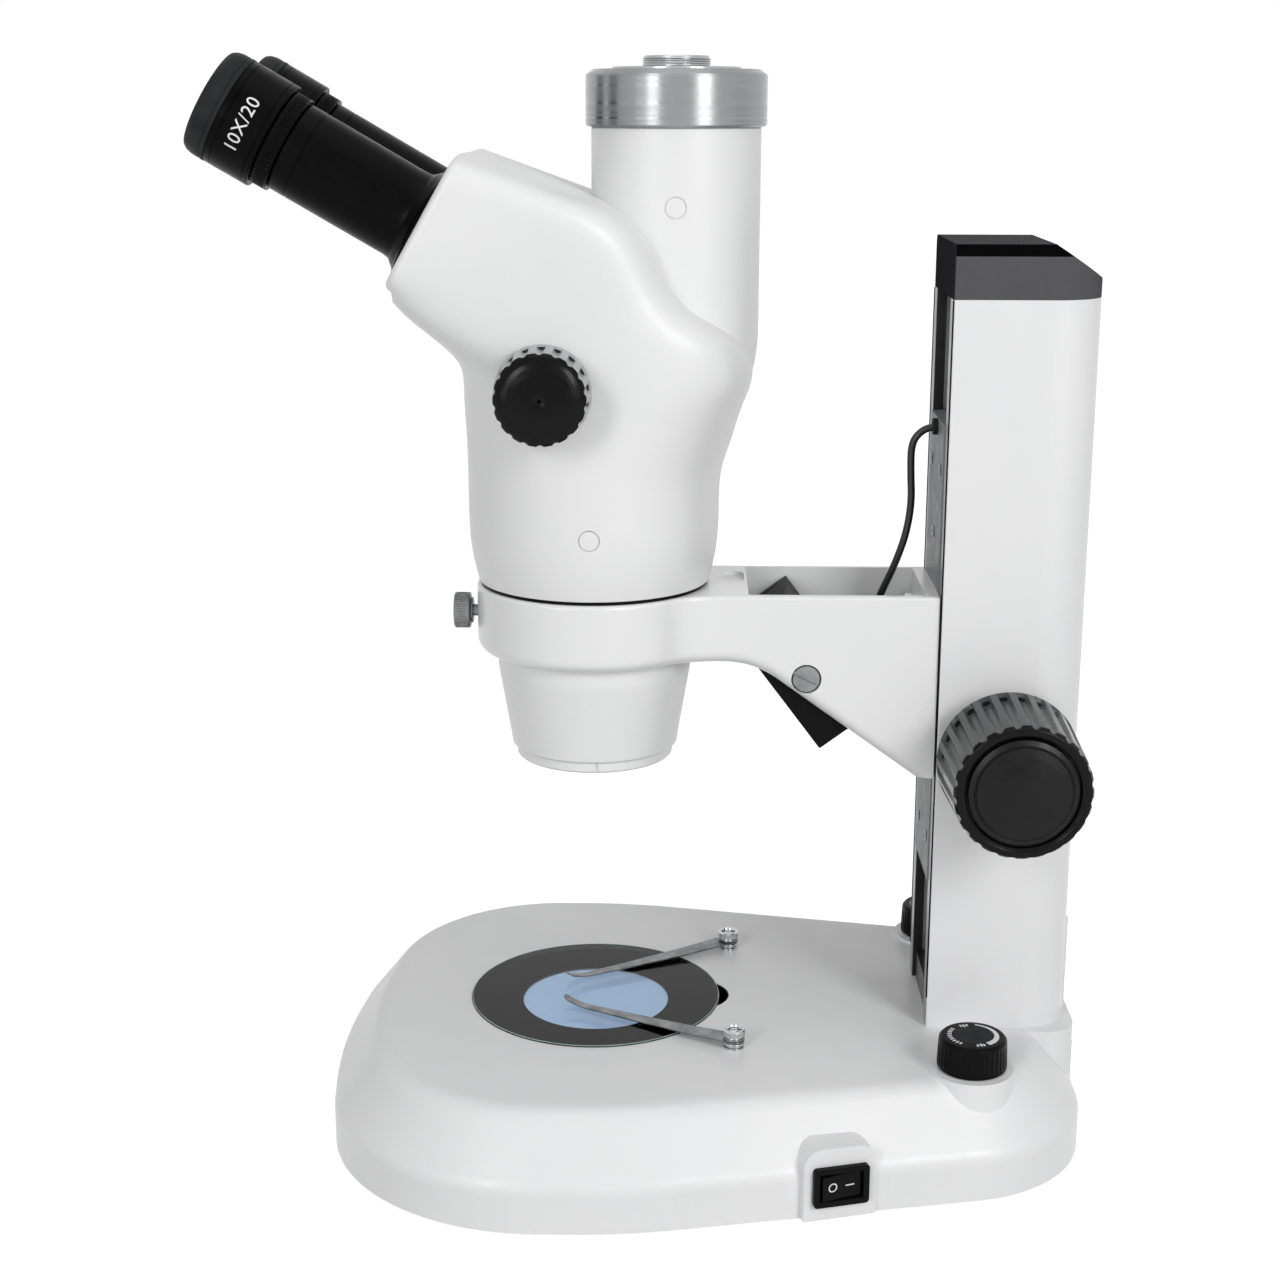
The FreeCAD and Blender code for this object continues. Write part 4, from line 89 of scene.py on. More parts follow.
class Look:
    """A material under construction: short calls for its nodes and links."""

    def __init__(self, name, colour, roughness, metallic=0.0, **sockets):
        self.material = bpy.data.materials.new(name)
        self.material.use_nodes = True
        self.tree = self.material.node_tree
        self.shader = self.tree.nodes["Principled BSDF"]
        self.colour = linear(colour)
        self.shader.inputs["Base Color"].default_value = self.colour
        self.shader.inputs["Roughness"].default_value = roughness
        self.shader.inputs["Metallic"].default_value = metallic
        for socket, value in sockets.items():
            self.shader.inputs[socket.replace("_", " ")].default_value = value
        self.place = self.node("ShaderNodeTexCoord").outputs["Object"]
        self.height = None

    def node(self, kind, **values):
        made = self.tree.nodes.new(kind)
        for name, value in values.items():
            if hasattr(made, name):
                setattr(made, name, value)
            else:
                self.feed(made.inputs[name], value)
        return made

    def feed(self, socket, value):
        if isinstance(value, bpy.types.NodeSocket):
            self.tree.links.new(value, socket)
        else:
            socket.default_value = value

    def math(self, operation, first, second=0.0):
        made = self.node("ShaderNodeMath", operation=operation)
        self.feed(made.inputs[0], first)
        self.feed(made.inputs[1], second)
        return made.outputs[0]

    def noise(self, size_mm, detail=2.0, stretch=None, place=None):
        """Noise whose grains are about size_mm across, from 0 to 1."""
        place = place or self.place
        if stretch:
            scaled = self.node("ShaderNodeMapping", Vector=place)
            scaled.inputs["Scale"].default_value = stretch
            place = scaled.outputs["Vector"]
        made = self.node("ShaderNodeTexNoise", Vector=place)
        made.inputs["Scale"].default_value = 1000.0 / size_mm
        made.inputs["Detail"].default_value = detail
        return made.outputs["Fac"]

    def spread(self, value, low, high, source_low=0.3, source_high=0.7):
        """Stretches the part of a value from source_low to source_high over low to high."""
        made = self.node("ShaderNodeMapRange")
        for socket, number in (("From Min", source_low), ("From Max", source_high),
                               ("To Min", low), ("To Max", high)):
            made.inputs[socket].default_value = number
        self.feed(made.inputs["Value"], value)
        return made.outputs["Result"]

    def rough(self, value, low, high):
        self.feed(self.shader.inputs["Roughness"], self.spread(value, low, high))

    def tint(self, value, other, low=0.0, high=1.0):
        """Mixes the present colour towards another where value is high."""
        mix = self.node("ShaderNodeMix", data_type="RGBA")
        self.feed(mix.inputs[0], self.spread(value, low, high))
        present = self.shader.inputs["Base Color"]
        if present.is_linked:
            self.feed(mix.inputs[6], present.links[0].from_socket)
            self.tree.links.remove(present.links[0])
        else:
            self.feed(mix.inputs[6], present.default_value[:])
        self.feed(mix.inputs[7], linear(other))
        self.feed(present, mix.outputs[2])

    def mask(self, value, other):
        """Lays another flat colour where value is 1."""
        self.tint(self.spread(value, 0.3, 0.7, 0.0, 1.0), other, 0.0, 1.0)

    def bump(self, value, depth_mm, strength=1.0):
        made = self.node("ShaderNodeBump")
        made.inputs["Strength"].default_value = strength
        made.inputs["Distance"].default_value = depth_mm * MM
        self.feed(made.inputs["Height"], value)
        if self.height is not None:
            self.feed(made.inputs["Normal"], self.height)
        self.height = made.outputs["Normal"]
        self.feed(self.shader.inputs["Normal"], self.height)

    def round_axis(self, centre, along):
        """(distance from the axis, place along it) of an axis through centre, in metres."""
        moved = self.node("ShaderNodeVectorMath", operation="SUBTRACT")
        self.feed(moved.inputs[0], self.place)
        moved.inputs[1].default_value = centre
        split = self.node("ShaderNodeSeparateXYZ", Vector=moved.outputs["Vector"])
        across = [a for a in "XYZ" if a != along]
        squares = [self.math("MULTIPLY", split.outputs[a], split.outputs[a]) for a in across]
        return self.math("SQRT", self.math("ADD", *squares)), split.outputs[along]

    def turned(self, centre, depth_mm, line_mm, along):
        """Fine lathe lines round an axis."""
        radius, level = self.round_axis(centre, along)
        joined = self.node("ShaderNodeCombineXYZ", X=radius, Y=level)
        lines = self.noise(line_mm, 3.0, place=joined.outputs["Vector"])
        self.bump(lines, depth_mm)
        return lines


def surface(name, colour, roughness, bumps=(), worn=None, tint=None, **sockets):
    """An even material with its noise: bumps (grain mm, detail, depth mm, strength),
    worn (grain mm, detail, roughness from, to) and tint (grain mm, detail, colour, share)."""
    look = Look(name, colour, roughness, **sockets)
    for grain, detail, depth, strength in bumps:
        look.bump(look.noise(grain, detail), depth, strength)
    if worn:
        look.rough(look.noise(*worn[:2]), *worn[2:])
    if tint:
        look.tint(look.noise(*tint[:2]), tint[2], 0.0, tint[3])
    return look


def grainy_white(name, code="ececec", roughness=0.42):
    """White powder paint with an orange-peel skin of about a millimetre."""
    return surface(name, code, roughness, [(1.5, 2.0, 0.055, 0.8), (0.55, 1.0, 0.02, 0.7)],
                   (9.0, 3.0, roughness - 0.05, roughness + 0.06), (60.0, 3.0, "e4e5e6", 0.55),
                   Coat_Weight=0.12, Coat_Roughness=0.28).material


def column_paint(name, slot=False):
    """Satin white on the drawn track, with a faint grain; its front strip is a darker grey, and inside its
    slot it is painted near black as painted shade.
    """
    look = surface(name, "e9e9ea", 0.36, [(0.9, 2.0, 0.018, 0.7)], (14.0, 3.0, 0.31, 0.42),
                   (50.0, 2.0, "e2e3e4", 0.5), Coat_Weight=0.15, Coat_Roughness=0.3)
    look.bump(look.noise(1.4, 2.0, stretch=(1.0, 1.0, 0.02)), 0.008, 0.6)
    if slot:
        x, y, _ = look.node("ShaderNodeSeparateXYZ", Vector=look.place).outputs
        front = look.math("LESS_THAN", y, along_y(TRACK_FRONT))
        inner = look.math("LESS_THAN", look.math("ABSOLUTE", x), SLOT_HALF * MM)
        ahead = look.math("LESS_THAN", y, along_y(TRACK_REAR))
        behind = look.math("GREATER_THAN", y, along_y(TRACK_FRONT))
        look.mask(front, "8a8b8d")
        # Painted shade: the inside of the slot is given near black.
        look.mask(look.math("MULTIPLY", inner, look.math("MULTIPLY", ahead, behind)), "0e0e0f")
    return look.material


def black_moulding(name, code="0c0c0d", roughness=0.36, grain=0.7, depth=0.02, shine=0.06, shade="111113"):
    return surface(name, code, roughness, [(grain, 2.0, depth, 0.8)],
                   (5.0, 4.0, roughness - 0.07, roughness + 0.1), (14.0, 3.0, shade, 0.5),
                   Specular_IOR_Level=shine).material


def column_cap_moulding():
    """Grey grained moulding; its bevelled side edges are painted black as a painted dark reflection, and its
    front face is darker.
    """
    look = surface("cap moulding", "58585a", 0.5, [(0.6, 2.0, 0.035, 0.8)], (5.0, 3.0, 0.38, 0.5),
                   (12.0, 3.0, "5d5d60", 0.7), Specular_IOR_Level=0.0)
    x, y, z = look.node("ShaderNodeSeparateXYZ", Vector=look.place).outputs
    high = look.math("GREATER_THAN", z, CAP_BEVEL_Z * MM)
    outer = look.math("GREATER_THAN", look.math("ABSOLUTE", x), CAP_BEVEL_X * MM)
    front = look.math("LESS_THAN", y, along_y(CAP_FRONT))
    # Painted reflection: the upper side bevels are given black.
    look.mask(look.math("MULTIPLY", high, outer), "0b0b0c")
    look.mask(front, "2e2e30")
    return look.material


def knob_moulding(name, axis, front_mm, flank_sheen, shine, hollow_mm, hollow_end_mm):
    """Black moulding round a shaft along X. Its fluted side behind the front is painted lighter as a painted
    sheen of reflected light, and the deep flute ends by the back rim are painted darker as painted shade.
    """
    look = surface(name, "030304", 0.26, [(0.9, 2.0, 0.012, 0.8)], (4.0, 3.0, 0.16, 0.27),
                   Specular_IOR_Level=shine)
    radius, level = look.round_axis(at(0, *axis), "X")
    # Painted sheen: the fluted side is given a lighter colour for the light it reflects.
    behind = look.math("LESS_THAN", look.math("ABSOLUTE", level), front_mm * MM)
    look.mask(behind, flank_sheen)
    # Painted shade: the deep ends of the flutes are given near black.
    flute_end_shade = look.math("LESS_THAN", radius, hollow_mm * MM)
    end = look.math("LESS_THAN", look.math("ABSOLUTE", level), hollow_end_mm * MM)
    look.mask(look.math("MULTIPLY", flute_end_shade, end), "08080a")
    return look.material


def turned_metal(name, centre, code, roughness=0.28, along="Z", depth=0.012, line=0.14, shade="a4a5a6",
                 brushed=False):
    """Metal with lathe lines; a brushed one spreads its light across them."""
    look = Look(name, code, roughness, metallic=1.0, Anisotropic=0.9 if brushed else 0.4)
    if brushed:
        look.shader.inputs["Anisotropic Rotation"].default_value = 0.25
    lines = look.turned(centre, depth, line, along)
    look.rough(lines, roughness - 0.08, roughness + 0.12)
    look.tint(look.noise(20.0, 3.0), shade, 0.0, 0.5)
    return look.material


def bright_metal(name, code="cfd0d2", roughness=0.22):
    return surface(name, code, roughness, [(0.3, 2.0, 0.004, 0.7)],
                   (2.5, 4.0, roughness - 0.07, roughness + 0.12), (6.0, 3.0, "a9aaac", 0.5),
                   metallic=1.0).material


def flat_print(name, code, shade="cfcfd0"):
    """Screen ink, faintly uneven."""
    return surface(name, code, 0.5, [(0.4, 2.0, 0.005, 0.5)], tint=(0.6, 3.0, shade, 0.5)).material


white_paint = grainy_white("housing paint")
print_white = flat_print("white print", "e9e9ea")
joint_grey = flat_print("glass joint", "3a4442", "434e4b")
edge_green = flat_print("ground glass edge", "9fb3aa", "8ea59a")
foot_paint = grainy_white("foot paint", "ebebec", 0.4)
enamel = surface("arm enamel", "ebebeb", 0.3, [(1.1, 2.0, 0.012, 0.6)], (30.0, 2.0, 0.27, 0.34),
                 (60.0, 2.0, "e6e7e7", 0.5), Coat_Weight=0.25, Coat_Roughness=0.15).material
track_paint = column_paint("column paint", slot=True)
cover_paint = column_paint("cover paint")
# The carriage plate is a flat darker grey.
strip_grey = black_moulding("dark strip grey", "7e7f81", 0.4, 0.5, 0.015, shade="8a8b8d")
black_plastic = black_moulding("black plastic")
black_knob = black_moulding("dimmer moulding", "0b0b0c", 0.3, 0.9, 0.012)
# The lighter colours given to these knobs' fluted sides are painted sheen on black mouldings.
zoom_moulding = knob_moulding("zoom knob moulding", ZOOM_AXIS, 68.3, "adaeaf", 0.13, 17.0, 55.2)
focus_moulding = knob_moulding("focus knob moulding", FOCUS_AXIS, 76.9, "525354", 0.14, 25.6, 43.0)
satin_cap = black_moulding("knob cap", "080809", 0.3, 0.5, 0.012, 0.2, "0c0c0d")
dial_grey = black_moulding("dial disc", "26272a", 0.45, 0.4, 0.015)
black_gloss = black_moulding("black gloss plastic", "0f0f10", 0.2, 3.0, 0.01)
black_lamp = black_moulding("lamp paint", "101011", 0.42, 0.5, 0.03)
cap_grey = column_cap_moulding()
eyepiece_black = surface("black anodised", "040405", 0.28, [(0.35, 2.0, 0.006, 0.8)],
                         (4.0, 3.0, 0.22, 0.36), (18.0, 3.0, "09090a", 0.6),
                         Specular_IOR_Level=0.05).material
rubber = surface("soft rubber", "121314", 0.6, [(0.5, 3.0, 0.03, 0.8)], (6.0, 4.0, 0.52, 0.75),
                 (10.0, 3.0, "1a1c1e", 0.6), Specular_IOR_Level=0.2).material
lead_sheath = surface("lead sheath", "111112", 0.38, [(0.8, 2.0, 0.01, 0.6)],
                      tint=(9.0, 2.0, "1b1b1d", 0.6)).material
steel = bright_metal("plated steel")
clip_steel = bright_metal("spring steel", "66686a", 0.36)
cap_chrome = bright_metal("plated cap", "c6c7c9", 0.12)
dark_screw = bright_metal("burnished screw", "5c5e60", 0.3)
pivot_screw = bright_metal("slotted screw", "747678", 0.34)
brass = bright_metal("turned brass", "b08d4a", 0.3)
port_metal = turned_metal("turned port ring", at(0, TUBE_Y, 400), "97989a", 0.3, depth=0.001, line=0.5,
                          shade="8f9092", brushed=True)
nose_metal = turned_metal("plated nose", at(0, TUBE_Y, 414), "b4b5b7", 0.16, depth=0.003)
screw_metal = turned_metal("turned screw", at(0, 0, CLAMP_Z), "7c7d7f", 0.24, along="Y", depth=0.004,
                           shade="6c6d6f")
glass = surface("stage glass", "eef8f4", 0.04, [(30.0, 2.0, 0.004, 0.4)], (25.0, 3.0, 0.02, 0.06),
                Transmission_Weight=1.0, IOR=1.22).material
# The dark print under the stage glass shows a little green through it.
mask_print = surface("stage mask", "2b3432", 0.5, [(0.4, 2.0, 0.01, 0.6)], (3.0, 2.0, 0.44, 0.58),
                     (22.0, 3.0, "323c3a", 0.6), Specular_IOR_Level=0.1).material
# Painted light: the faint emission makes the diffuser glow though no lamp in the scene lights it.
frosted_blue = surface("frosted blue", "98a9d0", 0.55, [(0.3, 2.0, 0.02, 0.8)], (2.0, 2.0, 0.5, 0.62),
                       (25.0, 2.0, "a2b1d4", 0.7), Subsurface_Weight=0.1,
                       Emission_Color=linear("93a6d6"), Emission_Strength=0.25).material
lens = surface("coated lens", "10131f", 0.05, tint=(12.0, 1.0, "1a1638", 0.6), Specular_IOR_Level=0.9,
               Coat_Weight=1.0, Coat_Roughness=0.03, Coat_Tint=linear("b9a6ff")).material
circuit_board = surface("circuit board", "0f3d23", 0.4, [(1.0, 3.0, 0.03, 0.5)],
                        tint=(3.0, 4.0, "1c5a33", 0.9), Coat_Weight=0.3).material

LOOKS = {
    white_paint: ["head_housing", "trinocular_tube", "lower_barrel", "objective_ring", "housing_plugs"],
    foot_paint: ["base_shell"],
    enamel: ["arm"],
    track_paint: ["column"],
    cover_paint: ["column_back_cover"],
    strip_grey: ["carriage_plate"],
    cap_grey: ["column_cap"],
    black_plastic: ["focus_knob_right", "focus_knob_left", "focus_knob_caps", "zoom_knob_right",
                    "zoom_knob_left", "dimmer_knob_left", "dimmer_knob_right", "power_inlet",
                    "base_bottom_cover", "dimmer_pots", "lamp_terminal"],
    black_gloss: ["switch_frame", "power_rocker"],
    black_lamp: ["lamp_housing"],
    eyepiece_black: ["eyetube_left", "eyetube_right", "diopter_ring_left", "diopter_ring_right",
                     "eyepiece_left", "eyepiece_right", "zoom_lens_tubes"],
    rubber: ["eyecup_left", "eyecup_right", "rubber_feet", "lamp_lead", "cable_gland"],
    steel: ["base_cover_screws", "stage_clip_posts", "arm_bolts", "lamp_pivot_screws", "focus_shaft",
            "focus_pinion", "zoom_shaft"],
    clip_steel: ["stage_clip_left", "stage_clip_right"],
    brass: ["focus_shaft_bushes", "focus_rack"],
    port_metal: ["port_ring"],
    nose_metal: ["camera_mount"],
    screw_metal: ["clamp_screw"],
    glass: ["stage_glass", "lamp_window"],
    mask_print: ["stage_mask"],
    frosted_blue: ["stage_diffuser"],
    lens: ["objective_lens", "eye_lens_left", "eye_lens_right"],
    circuit_board: ["stage_lamp_board", "driver_board"],
}


def dress():
    """Every solid that is carried over gets its material."""
    for material, nodes in LOOKS.items():
        for name in nodes:
            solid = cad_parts[name]
            solid.data.materials.clear()
            solid.data.materials.append(material)


# Mesh tools

def mesh_of(name, bm):
    """The mesh of a bmesh, with its normals out; the bmesh is freed."""
    bmesh.ops.recalc_face_normals(bm, faces=bm.faces)
    mesh = bpy.data.meshes.new(name)
    bm.to_mesh(mesh)
    bm.free()
    return mesh


def put(name, data):
    """A new object in the scene."""
    made = bpy.data.objects.new(name, data)
    bpy.context.collection.objects.link(made)
    return made


def plain_mesh(obj):
    """The object's mesh as its modifiers make it."""
    graph = bpy.context.evaluated_depsgraph_get()
    return bpy.data.meshes.new_from_object(obj.evaluated_get(graph))


def finished(name, form, material, body, replaces=(), sharp=32.0):
    """Makes an object of a mesh, smooth but for its sharp edges, and hangs it on its body."""
    mesh = mesh_of(name, form) if isinstance(form, bmesh.types.BMesh) else form
    if sharp is not None:
        mesh.polygons.foreach_set("use_smooth", [True] * len(mesh.polygons))
        mesh.set_sharp_from_angle(angle=math.radians(sharp))
    mesh.materials.clear()
    mesh.materials.append(material)
    made = put(name, mesh)
    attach(made, body)
    if replaces:
        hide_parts(*replaces)
    return made


def loose(name, bm):
    """A helper object outside the model, for cuts."""
    return put(name, mesh_of(name, bm))


def carve(obj, tool, operation="DIFFERENCE"):
    """Cuts the tool out of an object, or joins it on, and removes the tool."""
    modifier = obj.modifiers.new("cut", "BOOLEAN")
    modifier.operation = operation
    modifier.solver = "EXACT"
    modifier.object = tool
    mesh = plain_mesh(obj)
    obj.modifiers.clear()
    obj.data = mesh
    bpy.data.objects.remove(tool)


def bridge(bm, rings):
    """Faces between successive rings of equally many points."""
    loops = [[bm.verts.new(p) for p in ring] for ring in rings]
    for low, high in zip(loops, loops[1:]):
        for i in range(len(low)):
            j = (i + 1) % len(low)
            bm.faces.new((low[i], low[j], high[j], high[i]))
    return loops


def skin_rings(bm, rings):
    """A closed skin over rings of points, fanned shut at both ends."""
    loops = bridge(bm, rings)
    for loop in (loops[0], loops[-1]):
        middle = bm.verts.new(sum((vert.co for vert in loop), Vector()) / len(loop))
        for i in range(len(loop)):
            bm.faces.new((loop[i], loop[(i + 1) % len(loop)], middle))


ARC_STEPS = 5


def arc_points(profile):
    """Rounds a profile of (radius, height, corner) in mm; a point without a corner stays sharp."""
    points = []
    for i, (r, z, *corner) in enumerate(profile):
        here = Vector((r, z))
        if not corner or i in (0, len(profile) - 1):
            points.append(here)
            continue
        back = Vector(profile[i - 1][:2]) - here
        ahead = Vector(profile[i + 1][:2]) - here
        angle = back.angle(ahead)
        reach = min(corner[0] / math.tan(angle / 2), back.length * 0.49, ahead.length * 0.49)
        radius = reach * math.tan(angle / 2)
        bisector = (back.normalized() + ahead.normalized()).normalized()
        centre = here + bisector * (radius / math.sin(angle / 2))
        start = (here + back.normalized() * reach - centre).normalized()
        end = (here + ahead.normalized() * reach - centre).normalized()
        for k in range(ARC_STEPS + 1):
            points.append(centre + start.slerp(end, k / ARC_STEPS, start) * radius)
    return points


def lathe(profile, place, segments):
    """A turned solid from a half section in mm, whose Z is the axis, set in place."""
    bm = bmesh.new()
    points = arc_points(profile)
    if profile[0][0] > 0 or profile[-1][0] > 0:
        points.append(points[0].copy())
    turns = [2 * math.pi * i / segments for i in range(segments)]
    bridge(bm, [[place @ round_point(point.x, turn, point.y) for turn in turns] for point in points])
    bmesh.ops.remove_doubles(bm, verts=bm.verts, dist=1e-7)
    bmesh.ops.dissolve_degenerate(bm, edges=bm.edges, dist=1e-8)
    return bm


def upright(x=0.0, y=0.0, z=0.0):
    """A frame in mm with Z up, at a point from the optical axis."""
    return Matrix.Translation(at(x, y, z)) @ Matrix.Scale(MM, 4)


def facing(direction, x=0.0, y=0.0, z=0.0):
    """A frame in mm whose Z points along a direction, at a point from the optical axis."""
    turn = Vector(direction).to_track_quat("Z", "Y").to_matrix().to_4x4()
    return Matrix.Translation(at(x, y, z)) @ turn @ Matrix.Scale(MM, 4)


def eye_place(side):
    """Z along the eyepiece from the housing's face, Y up that face, in mm."""
    turn = Matrix.Rotation(math.radians(EYE_LEAN), 4, "X")
    return Matrix.Translation(at(side * EYE[0], *EYE[1:])) @ turn @ Matrix.Scale(MM, 4)


# Node trees for what repeats

class Tree:
    """A Geometry Nodes tree under construction, with named sizes as its inputs."""

    def __init__(self, name, **sizes):
        self.group = bpy.data.node_groups.new(name, "GeometryNodeTree")
        face = self.group.interface
        face.new_socket("Geometry", in_out="INPUT", socket_type="NodeSocketGeometry")
        for size, value in sizes.items():
            kind = "NodeSocketInt" if isinstance(value, int) else "NodeSocketFloat"
            face.new_socket(size, in_out="INPUT", socket_type=kind).default_value = value
        face.new_socket("Material", in_out="INPUT", socket_type="NodeSocketMaterial")
        face.new_socket("Geometry", in_out="OUTPUT", socket_type="NodeSocketGeometry")
        self.given = self.group.nodes.new("NodeGroupInput").outputs
        self.result = self.group.nodes.new("NodeGroupOutput").inputs["Geometry"]

    def node(self, kind, values=(), **settings):
        made = self.group.nodes.new(kind)
        for name, value in settings.items():
            setattr(made, name, value)
        for socket, value in dict(values).items():
            self.feed(made.inputs[socket], value)
        return made

    def feed(self, socket, value):
        if isinstance(value, bpy.types.NodeSocket):
            self.group.links.new(value, socket)
        else:
            socket.default_value = value

    def math(self, operation, *values):
        made = self.node("ShaderNodeMath", operation=operation)
        for socket, value in zip(made.inputs, values):
            self.feed(socket, value)
        return made.outputs[0]

    def vector(self, x=0.0, y=0.0, z=0.0):
        return self.node("ShaderNodeCombineXYZ", {0: x, 1: y, 2: z}).outputs[0]

    def finish(self, geometry):
        """Ends the tree in Realize Instances and Set Material."""
        real = self.node("GeometryNodeRealizeInstances", {"Geometry": geometry})
        done = self.node("GeometryNodeSetMaterial", {"Geometry": real.outputs[0],
                                                     "Material": self.given["Material"]})
        self.feed(self.result, done.outputs[0])
        return self.group


def flute_tree():
    """Runs round grooves along a turned piece whose axis is Z, and rounds their edges."""
    tree = Tree("flutes", Count=24, Distance=26.6, Cutter=1.8, Edge=0.3, Start=0.0, End=100.0, Fade=0.4)
    given, calc = tree.given, tree.math
    place = tree.node("GeometryNodeInputPosition").outputs[0]
    split = tree.node("ShaderNodeSeparateXYZ", {0: place})
    x, y, z = split.outputs
    radius = calc("MAXIMUM", calc("SQRT", calc("ADD", calc("MULTIPLY", x, x), calc("MULTIPLY", y, y))), 0.001)
    turns = calc("MULTIPLY", calc("DIVIDE", calc("ARCTAN2", y, x), 2 * math.pi), given["Count"])
    phase = calc("SUBTRACT", calc("FRACT", turns), 0.5)
    aside = calc("DIVIDE", calc("MULTIPLY", calc("MULTIPLY", phase, 2 * math.pi), given["Distance"]),
                 given["Count"])
    inside = calc("SUBTRACT", calc("MULTIPLY", given["Cutter"], given["Cutter"]),
                  calc("MULTIPLY", aside, aside))
    depth = calc("SQRT", calc("MAXIMUM", inside, 0.0))
    away = calc("MULTIPLY", calc("MAXIMUM", calc("MULTIPLY", inside, -1.0), 0.0), 3.0)
    wall = calc("ADD", calc("SUBTRACT", given["Distance"], depth), away)
    fluted = calc("SMOOTH_MIN", radius, wall, given["Edge"])
    rise = tree.node("ShaderNodeMapRange", {0: z, 1: given["Start"],
                                            2: calc("ADD", given["Start"], given["Fade"])})
    fall = tree.node("ShaderNodeMapRange", {0: z, 1: calc("SUBTRACT", given["End"], given["Fade"]),
                                            2: given["End"], 3: 1.0, 4: 0.0})
    share = calc("MULTIPLY", rise.outputs[0], fall.outputs[0])
    change = calc("MULTIPLY", calc("SUBTRACT", calc("DIVIDE", fluted, radius), 1.0), share)
    shift = tree.vector(calc("MULTIPLY", x, change), calc("MULTIPLY", y, change))
    moved = tree.node("GeometryNodeSetPosition", {"Geometry": given["Geometry"], "Offset": shift})
    return tree.finish(moved.outputs[0])


def screw_tree():
    """Sets a round screw head with a driver recess on each point of a mesh; Z is outwards."""
    tree = Tree("screw heads", HeadRadius=2.0, HeadHeight=1.0, Bevel=0.25, RecessSides=6,
                RecessRadius=0.9, RecessWidth=0.0, RecessDepth=0.6)
    given, calc = tree.given, tree.math
    low = tree.node("GeometryNodeMeshCylinder", {
        "Vertices": 40, "Radius": given["HeadRadius"],
        "Depth": calc("SUBTRACT", given["HeadHeight"], given["Bevel"])})
    crown = tree.node("GeometryNodeMeshCone", {
        "Vertices": 40, "Radius Bottom": given["HeadRadius"],
        "Radius Top": calc("SUBTRACT", given["HeadRadius"], given["Bevel"]), "Depth": given["Bevel"]})
    half = calc("MULTIPLY", calc("SUBTRACT", given["HeadHeight"], given["Bevel"]), 0.5)
    raised = tree.node("GeometryNodeTransform", {"Geometry": crown.outputs[0],
                                                 "Translation": tree.vector(z=half)})
    head = tree.node("GeometryNodeMeshBoolean", operation="UNION", solver="EXACT")
    tree.feed(head.inputs["Mesh 2"], low.outputs[0])
    tree.feed(head.inputs["Mesh 2"], raised.outputs[0])
    round_tool = tree.node("GeometryNodeMeshCylinder", {
        "Vertices": given["RecessSides"], "Radius": given["RecessRadius"],
        "Depth": calc("MULTIPLY", given["RecessDepth"], 2.0)})
    slot_tool = tree.node("GeometryNodeMeshCube", {"Size": tree.vector(
        given["RecessWidth"], calc("MULTIPLY", given["HeadRadius"], 3.0),
        calc("MULTIPLY", given["RecessDepth"], 2.0))})
    slotted = tree.node("FunctionNodeCompare", {0: given["RecessWidth"], 1: 0.0},
                        data_type="FLOAT", operation="GREATER_THAN")
    tool = tree.node("GeometryNodeSwitch", {"Switch": slotted.outputs[0], "False": round_tool.outputs[0],
                                            "True": slot_tool.outputs[0]}, input_type="GEOMETRY")
    top = calc("ADD", half, given["Bevel"])
    placed = tree.node("GeometryNodeTransform", {"Geometry": tool.outputs[0],
                                                 "Translation": tree.vector(z=top)})
    cut = tree.node("GeometryNodeMeshBoolean", operation="DIFFERENCE", solver="EXACT")
    tree.feed(cut.inputs["Mesh 1"], head.outputs[0])
    tree.feed(cut.inputs["Mesh 2"], placed.outputs[0])
    seated = tree.node("GeometryNodeTransform", {"Geometry": cut.outputs[0],
                                                 "Translation": tree.vector(z=half)})
    spread = tree.node("GeometryNodeInstanceOnPoints", {"Points": given["Geometry"],
                                                        "Instance": seated.outputs[0]})
    return tree.finish(spread.outputs[0])


def thread_tree():
    """Winds a thread of triangular section round an axis and adds it to a turned piece."""
    tree = Tree("thread", Turns=4.0, Radius=12.2, Pitch=0.79, Depth=0.5, Start=414.0)
    given, calc = tree.given, tree.math
    line = tree.node("GeometryNodeCurveSpiral", {
        "Resolution": 96, "Rotations": given["Turns"], "Start Radius": given["Radius"],
        "End Radius": given["Radius"], "Height": calc("MULTIPLY", given["Turns"], given["Pitch"])})
    raised = tree.node("GeometryNodeTransform", {"Geometry": line.outputs[0],
                                                 "Translation": tree.vector(z=given["Start"])})
    section = tree.node("GeometryNodeCurvePrimitiveCircle", {"Resolution": 6, "Radius": given["Depth"]})
    swept = tree.node("GeometryNodeCurveToMesh", {"Curve": raised.outputs[0],
                                                  "Profile Curve": section.outputs[0]})
    tree.feed(swept.inputs["Fill Caps"], True)
    both = tree.node("GeometryNodeJoinGeometry")
    tree.feed(both.inputs[0], given["Geometry"])
    tree.feed(both.inputs[0], swept.outputs[0])
    return tree.finish(both.outputs[0])


FLUTES, SCREWS, THREAD = flute_tree(), screw_tree(), thread_tree()


def grown(bm, tree, material, **sizes):
    """The mesh that a node tree makes of bm, in bm's own frame."""
    source = loose("source", bm)
    modifier = source.modifiers.new("repeat", "NODES")
    modifier.node_group = tree
    for item in tree.interface.items_tree:
        if item.in_out == "INPUT" and item.name in sizes:
            modifier[item.identifier] = sizes[item.name]
        elif item.in_out == "INPUT" and item.name == "Material":
            modifier[item.identifier] = material
    mesh = plain_mesh(source)
    bpy.data.objects.remove(source)
    return mesh


